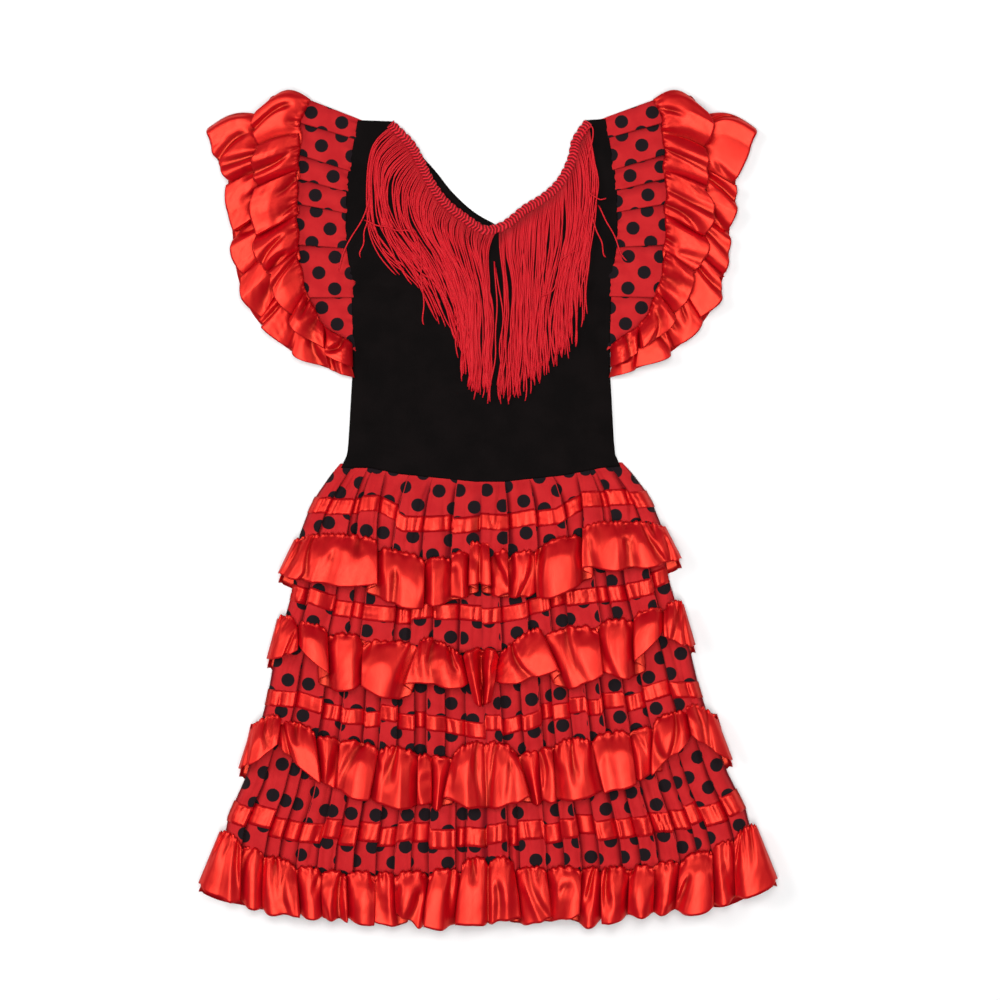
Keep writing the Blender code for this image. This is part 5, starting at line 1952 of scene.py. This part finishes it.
# ---------------------------------------------------------------- neck trim
def tubed(name: str, tubes: Sequence[tuple[np.ndarray, np.ndarray]], finish: bpy.types.Material,
          shades: Sequence[float] = ()) -> bpy.types.Object:
    """Make closed tubes from rings of points.

    Args:
        name: The object's name.
        tubes: For each tube its rings of points, whose first and last point meet, and
            their places on the cord, all in millimetres.
        finish: The material.
        shades: How shaded each tube is where it starts, if any is.

    Returns:
        The object.
    """
    bm = bmesh.new()
    for rings, _ in tubes:
        bmesh.ops.create_grid(bm, x_segments=rings.shape[1] - 1, y_segments=rings.shape[0] - 1, size=0.5)
    mesh = bpy.data.meshes.new(name)
    bm.to_mesh(mesh)
    places, flats = (np.concatenate([grid.reshape(-1, grid.shape[-1]) for grid in grids])
                     for grids in zip(*tubes))
    mapped(mesh, places, flats)
    # Painted shadow at the cords' roots, fading out over ROOT_SHADED from where they start.
    if shades:
        shaded(mesh, np.concatenate([
            shade * (1.0 - smooth((flat[..., 1] - flat[0, 0, 1]) / ROOT_SHADED)).ravel()
            for (_, flat), shade in zip(tubes, shades)]))
    bm.clear()
    bm.from_mesh(mesh)
    bmesh.ops.remove_doubles(bm, verts=bm.verts, dist=1e-6)
    bmesh.ops.holes_fill(bm, edges=bm.edges, sides=40)
    bmesh.ops.recalc_face_normals(bm, faces=bm.faces)
    bm.to_mesh(mesh)
    bm.free()
    return settled(name, mesh, finish)


def trim_base(x: np.ndarray, y: np.ndarray) -> np.ndarray:
    """Height of the bodice front's upper side under a trim."""
    return bodice_height(x, y, BODICE_FRONT_Z, BODICE_PUFF) + TRIM_Z


@dataclass(frozen=True)
class NeckBraid:
    """The gimp braid along the neckline: two rows of slanting loops with scalloped edges.

    Fields:
        scallop: Length of a scallop.
        loop: Distance from one loop to the next.
        slant: How far along the braid a loop goes on its way out.
        step: Distance between rings of points.
        around: Points round a ring.
        under: Share of its half height that the braid has below its middle.
        light: Where round the twist the cord's light colour lies; a whole turn is 1000. It is set so that the
            gimp's stripes put their deep colour, a painted shade, in the gaps between the loops and their
            light colour on the crests.
    """

    scallop: float = 6.0
    loop: float = 2.6
    slant: float = 1.4
    step: float = 0.30
    around: int = 28
    under: float = 0.35
    light: float = 250.0

    def build(self, finishes: Finishes) -> int:
        """Make the braid.

        Args:
            finishes: The dress's finishes.

        Returns:
            How many pieces were made.
        """
        neck = Curve(FRONT_NECK)
        share = np.linspace(0.0, 1.0, int(neck.length / self.step))
        run = neck.run(share)
        away = np.stack((run[:, 1], -run[:, 0]), axis=1)
        along = (share * neck.length)[:, None]
        turn = np.linspace(0.0, math.tau, self.around + 1)
        across, up = np.cos(turn), np.maximum(np.sin(turn), -self.under)
        bump = np.abs(np.cos(math.pi * along / self.scallop)) ** 0.6
        half = BRAID_WIDTH / 2 * (0.70 + 0.30 * bump)
        row = np.abs(across)
        slanted = along + self.slant * row
        ridge = np.abs(np.cos(math.pi * slanted / self.loop)) ** 0.7
        groove = 1.0 - 0.75 * np.exp(-(row / 0.20) ** 2)
        height = BRAID_HEIGHT * 0.5 * groove * (0.25 + 0.95 * ridge) * (0.75 + 0.25 * bump)
        centre = neck.at(share) + away * (BRAID_WIDTH / 2 - BRAID_EDGE)
        x, y = (centre[:, i:i + 1] + away[:, i:i + 1] * across * half for i in (0, 1))
        rings = stacked(x, y, trim_base(x, y) + BRAID_LIFT + (up + self.under) * height)
        piece = tubed("neck_braid_gimp", [(rings, stacked(self.light, slanted))], finishes.gimp)
        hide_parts("neck_braid")
        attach(piece, "root")
        return 1


@dataclass(frozen=True)
class Fringe:
    """Half the fringe: cords that hang from under the braid.

    Fields:
        side: Left or right.
        guides: Where the cords hang.
        seed: A number for their unevenness.
        shade: How shaded their roots are under the braid.
        cords: How many.
        locks: How many locks they cling together in.
        thick: A cord's width.
        hidden: How far under the braid they start.
        layers: Height of the uppermost cords over the lowest.
        loose: Height of the loose cords.
        stations: Rings of points down a cord.
        around: Points round a ring.
    """

    side: Side
    guides: tuple[Guide, ...]
    seed: int
    shade: float
    cords: int = 119
    locks: float = 17.0
    thick: float = 1.25
    hidden: float = 3.0
    layers: float = 3.0
    loose: float = 3.6
    stations: int = 26
    around: int = 5

    def cord(self, share: float, draw: random.Random, neck: Curve) -> tuple[np.ndarray, np.ndarray]:
        """One cord's rings.

        Args:
            share: Its place along half the neckline.
            draw: The source of unevenness.
            neck: The neckline.

        Returns:
            The rings and their places on the cord.
        """
        keys = [guide.share for guide in self.guides]
        foot = BOTTOM_SHARE + self.side.value * BOTTOM_HALF
        at = mix(FRINGE_START if self.side is Side.LEFT else 1.0 - FRINGE_START, foot, share)
        run = neck.run(at)
        points = [neck.at(at) + np.array((run[1], -run[0])) * (BRAID_WIDTH - BRAID_EDGE - self.hidden)]
        lock = random.Random(self.seed * 100 + int(share * self.locks))
        wander = 0.75 * lock.uniform(-1.0, 1.0) + 0.4 * draw.uniform(-1.0, 1.0)
        late = 0.5 * lock.uniform(-1.0, 1.0) + 0.6 * draw.uniform(-1.0, 1.0)
        for index, spread in enumerate(CORD_SPREAD, start=1):
            x, y = (float(np.interp(share, keys, [guide[index][i] for guide in self.guides])) for i in (0, 1))
            x += (wander + late * index / len(CORD_SPREAD)) * spread + draw.uniform(-0.5, 0.5)
            points.append(np.array((x, y + draw.uniform(-1.0, 1.0) * spread)))
        points[-1] = points[-1] + (0.0, draw.uniform(-6.0, 5.0))
        return self.tube(Curve(points), draw, draw.uniform(0.0, self.layers))

    def tube(self, curve: Curve, draw: random.Random, layer: float) -> tuple[np.ndarray, np.ndarray]:
        """Rings of a cord along a curve.

        Args:
            curve: The curve.
            draw: The source of unevenness.
            layer: Its height over the bodice.

        Returns:
            The rings and their places on the cord.
        """
        place = np.linspace(0.0, 1.0, self.stations)
        run = curve.run(place)
        across = np.stack((-run[:, 1], run[:, 0]), axis=1)
        phase, beat = draw.uniform(0.0, math.tau), draw.uniform(1.5, 3.5)
        line = curve.at(place) + across * (1.1 * place * np.sin(phase + beat * math.tau * place))[:, None]
        base = trim_base(line[:, 0], line[:, 1]) + self.thick / 2 + layer * smooth(place / 0.12)
        base = base + 0.25 * np.sin(phase * 2.0 + beat * 5.0 * place)
        turn = np.linspace(0.0, math.tau, self.around + 1)
        radius = self.thick / 2 * (1.0 - 0.3 * ramp(place, 0.96, 0.04))[:, None]
        x, y = (line[:, i:i + 1] + across[:, i:i + 1] * np.cos(turn) * radius for i in (0, 1))
        flat = stacked(turn / math.tau * 1000.0, place[:, None] * curve.length + phase * 100.0)
        return stacked(x, y, base[:, None] + np.sin(turn) * radius), flat

    def build(self, finishes: Finishes) -> int:
        """Make the cords.

        Args:
            finishes: The dress's finishes.

        Returns:
            How many pieces were made.
        """
        draw = random.Random(self.seed)
        neck = Curve(FRONT_NECK)
        tubes = [self.cord((index + 0.5) / self.cords, draw, neck) for index in range(self.cords)]
        loose = [points for points in LOOSE_CORDS if points[-1][0] * self.side.value > 0]
        tubes += [self.tube(Curve(points), draw, self.loose) for points in loose]
        word = self.side.name.lower()
        shades = [self.shade] * self.cords + [0.0] * len(loose)
        piece = tubed(f"fringe_{word}_cords", tubes, finishes.cord, shades)
        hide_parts(f"fringe_{word}")
        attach(piece, "root")
        return 1


# ---------------------------------------------------------------- studio
Lamp = namedtuple("Lamp", "name place size power")


@dataclass(frozen=True)
class Studio:
    """Floor, soft lights and the camera over the dress.

    Fields:
        centre: The point under the camera, in metres like all sizes here.
        view: Width of the camera's view on the floor.
        height: The camera's height.
        sensor: Width of its sensor, in millimetres.
        floor: Half the floor's width and its height, just under the dress.
        lamps: The square lamps.
        sky: Strength of the even light from all round.
    """

    centre: tuple[float, float] = (0.0096, 0.0064)
    view: float = 0.8
    height: float = 2.4
    sensor: float = 36.0
    floor: tuple[float, float] = (4.0, -0.0003)
    lamps: tuple[Lamp, ...] = (
        Lamp("overhead_top", (-0.05, 0.5, 2.9), 1.3, 42.0),
        Lamp("overhead_hem", (-0.05, -0.65, 2.9), 1.2, 38.0),
        Lamp("left", (-2.3, 0.9, 2.2), 1.3, 34.0),
        Lamp("right", (2.3, 0.9, 2.2), 1.3, 14.0),
    )
    sky: float = 0.07

    def lit(self, lamp: Lamp) -> None:
        """Add a lamp that shines at the dress.

        Args:
            lamp: Its name, place, width and power in watts.
        """
        light = bpy.data.lights.new(lamp.name, "AREA")
        light.shape, light.size, light.energy = "SQUARE", lamp.size, lamp.power
        holder = bpy.data.objects.new(lamp.name, light)
        holder.location = lamp.place
        aim = Vector((*self.centre, 0.0)) - Vector(lamp.place)
        holder.rotation_euler = aim.to_track_quat("-Z", "Y").to_euler()
        bpy.context.scene.collection.objects.link(holder)

    def build(self) -> int:
        """Make the floor, lights and camera.

        Returns:
            How many pieces were made.
        """
        bm = bmesh.new()
        bmesh.ops.create_grid(bm, x_segments=4, y_segments=4, size=self.floor[0])
        bmesh.ops.translate(bm, verts=bm.verts, vec=(0.0, 0.0, self.floor[1]))
        mesh = bpy.data.meshes.new("floor")
        bm.to_mesh(mesh)
        bm.free()
        settled("floor", mesh, Floor().material())
        world = bpy.data.worlds.new("studio")
        world.use_nodes = True
        background = world.node_tree.nodes["Background"]
        background.inputs["Color"].default_value = (1.0, 1.0, 1.0, 1.0)
        background.inputs["Strength"].default_value = self.sky
        bpy.context.scene.world = world
        bpy.context.scene.view_settings.view_transform = "Standard"
        for lamp in self.lamps:
            self.lit(lamp)
        camera = bpy.data.cameras.new("camera")
        camera.sensor_width, camera.clip_end = self.sensor, 20.0
        camera.lens = self.sensor * self.height / self.view
        holder = bpy.data.objects.new("camera", camera)
        holder.location = (*self.centre, self.height)
        bpy.context.scene.collection.objects.link(holder)
        bpy.context.scene.camera = holder
        return 1


def main() -> None:
    """Make every piece of the dress and its studio, and log how many pieces each part made."""
    logging.basicConfig(level=logging.INFO, format="%(message)s")
    # The gimp's deep colour is painted shade in the gaps between the braid's loops.
    gimp = Cord("red_gimp", (0.17, 0.001, 0.005), (0.70, 0.014, 0.030), twist=0.0026, striped=0.8)
    finishes = Finishes(Knit().material(), SpottedCotton().material(), Satin().material(), Cord().material(),
                        gimp.material())
    LOG.info("studio: %d", Studio().build())
    LOG.info("bodice: %d", Bodice().build(finishes))
    for number in range(len(TIERS)):
        LOG.info("tier %d: %d", number + 1, SkirtTier(number).build(finishes))
    for side in Side:
        LOG.info("sleeve %s: %d", side.name.lower(), Sleeve(side).build(finishes))
    LOG.info("braid: %d", NeckBraid().build(finishes))
    for side, guides, seed, shade in ((Side.LEFT, LEFT_CORDS, 7, 0.45), (Side.RIGHT, RIGHT_CORDS, 8, 0.95)):
        LOG.info("fringe %s: %d", side.name.lower(), Fringe(side, guides, seed, shade).build(finishes))


if __name__ == "__main__":
    main()
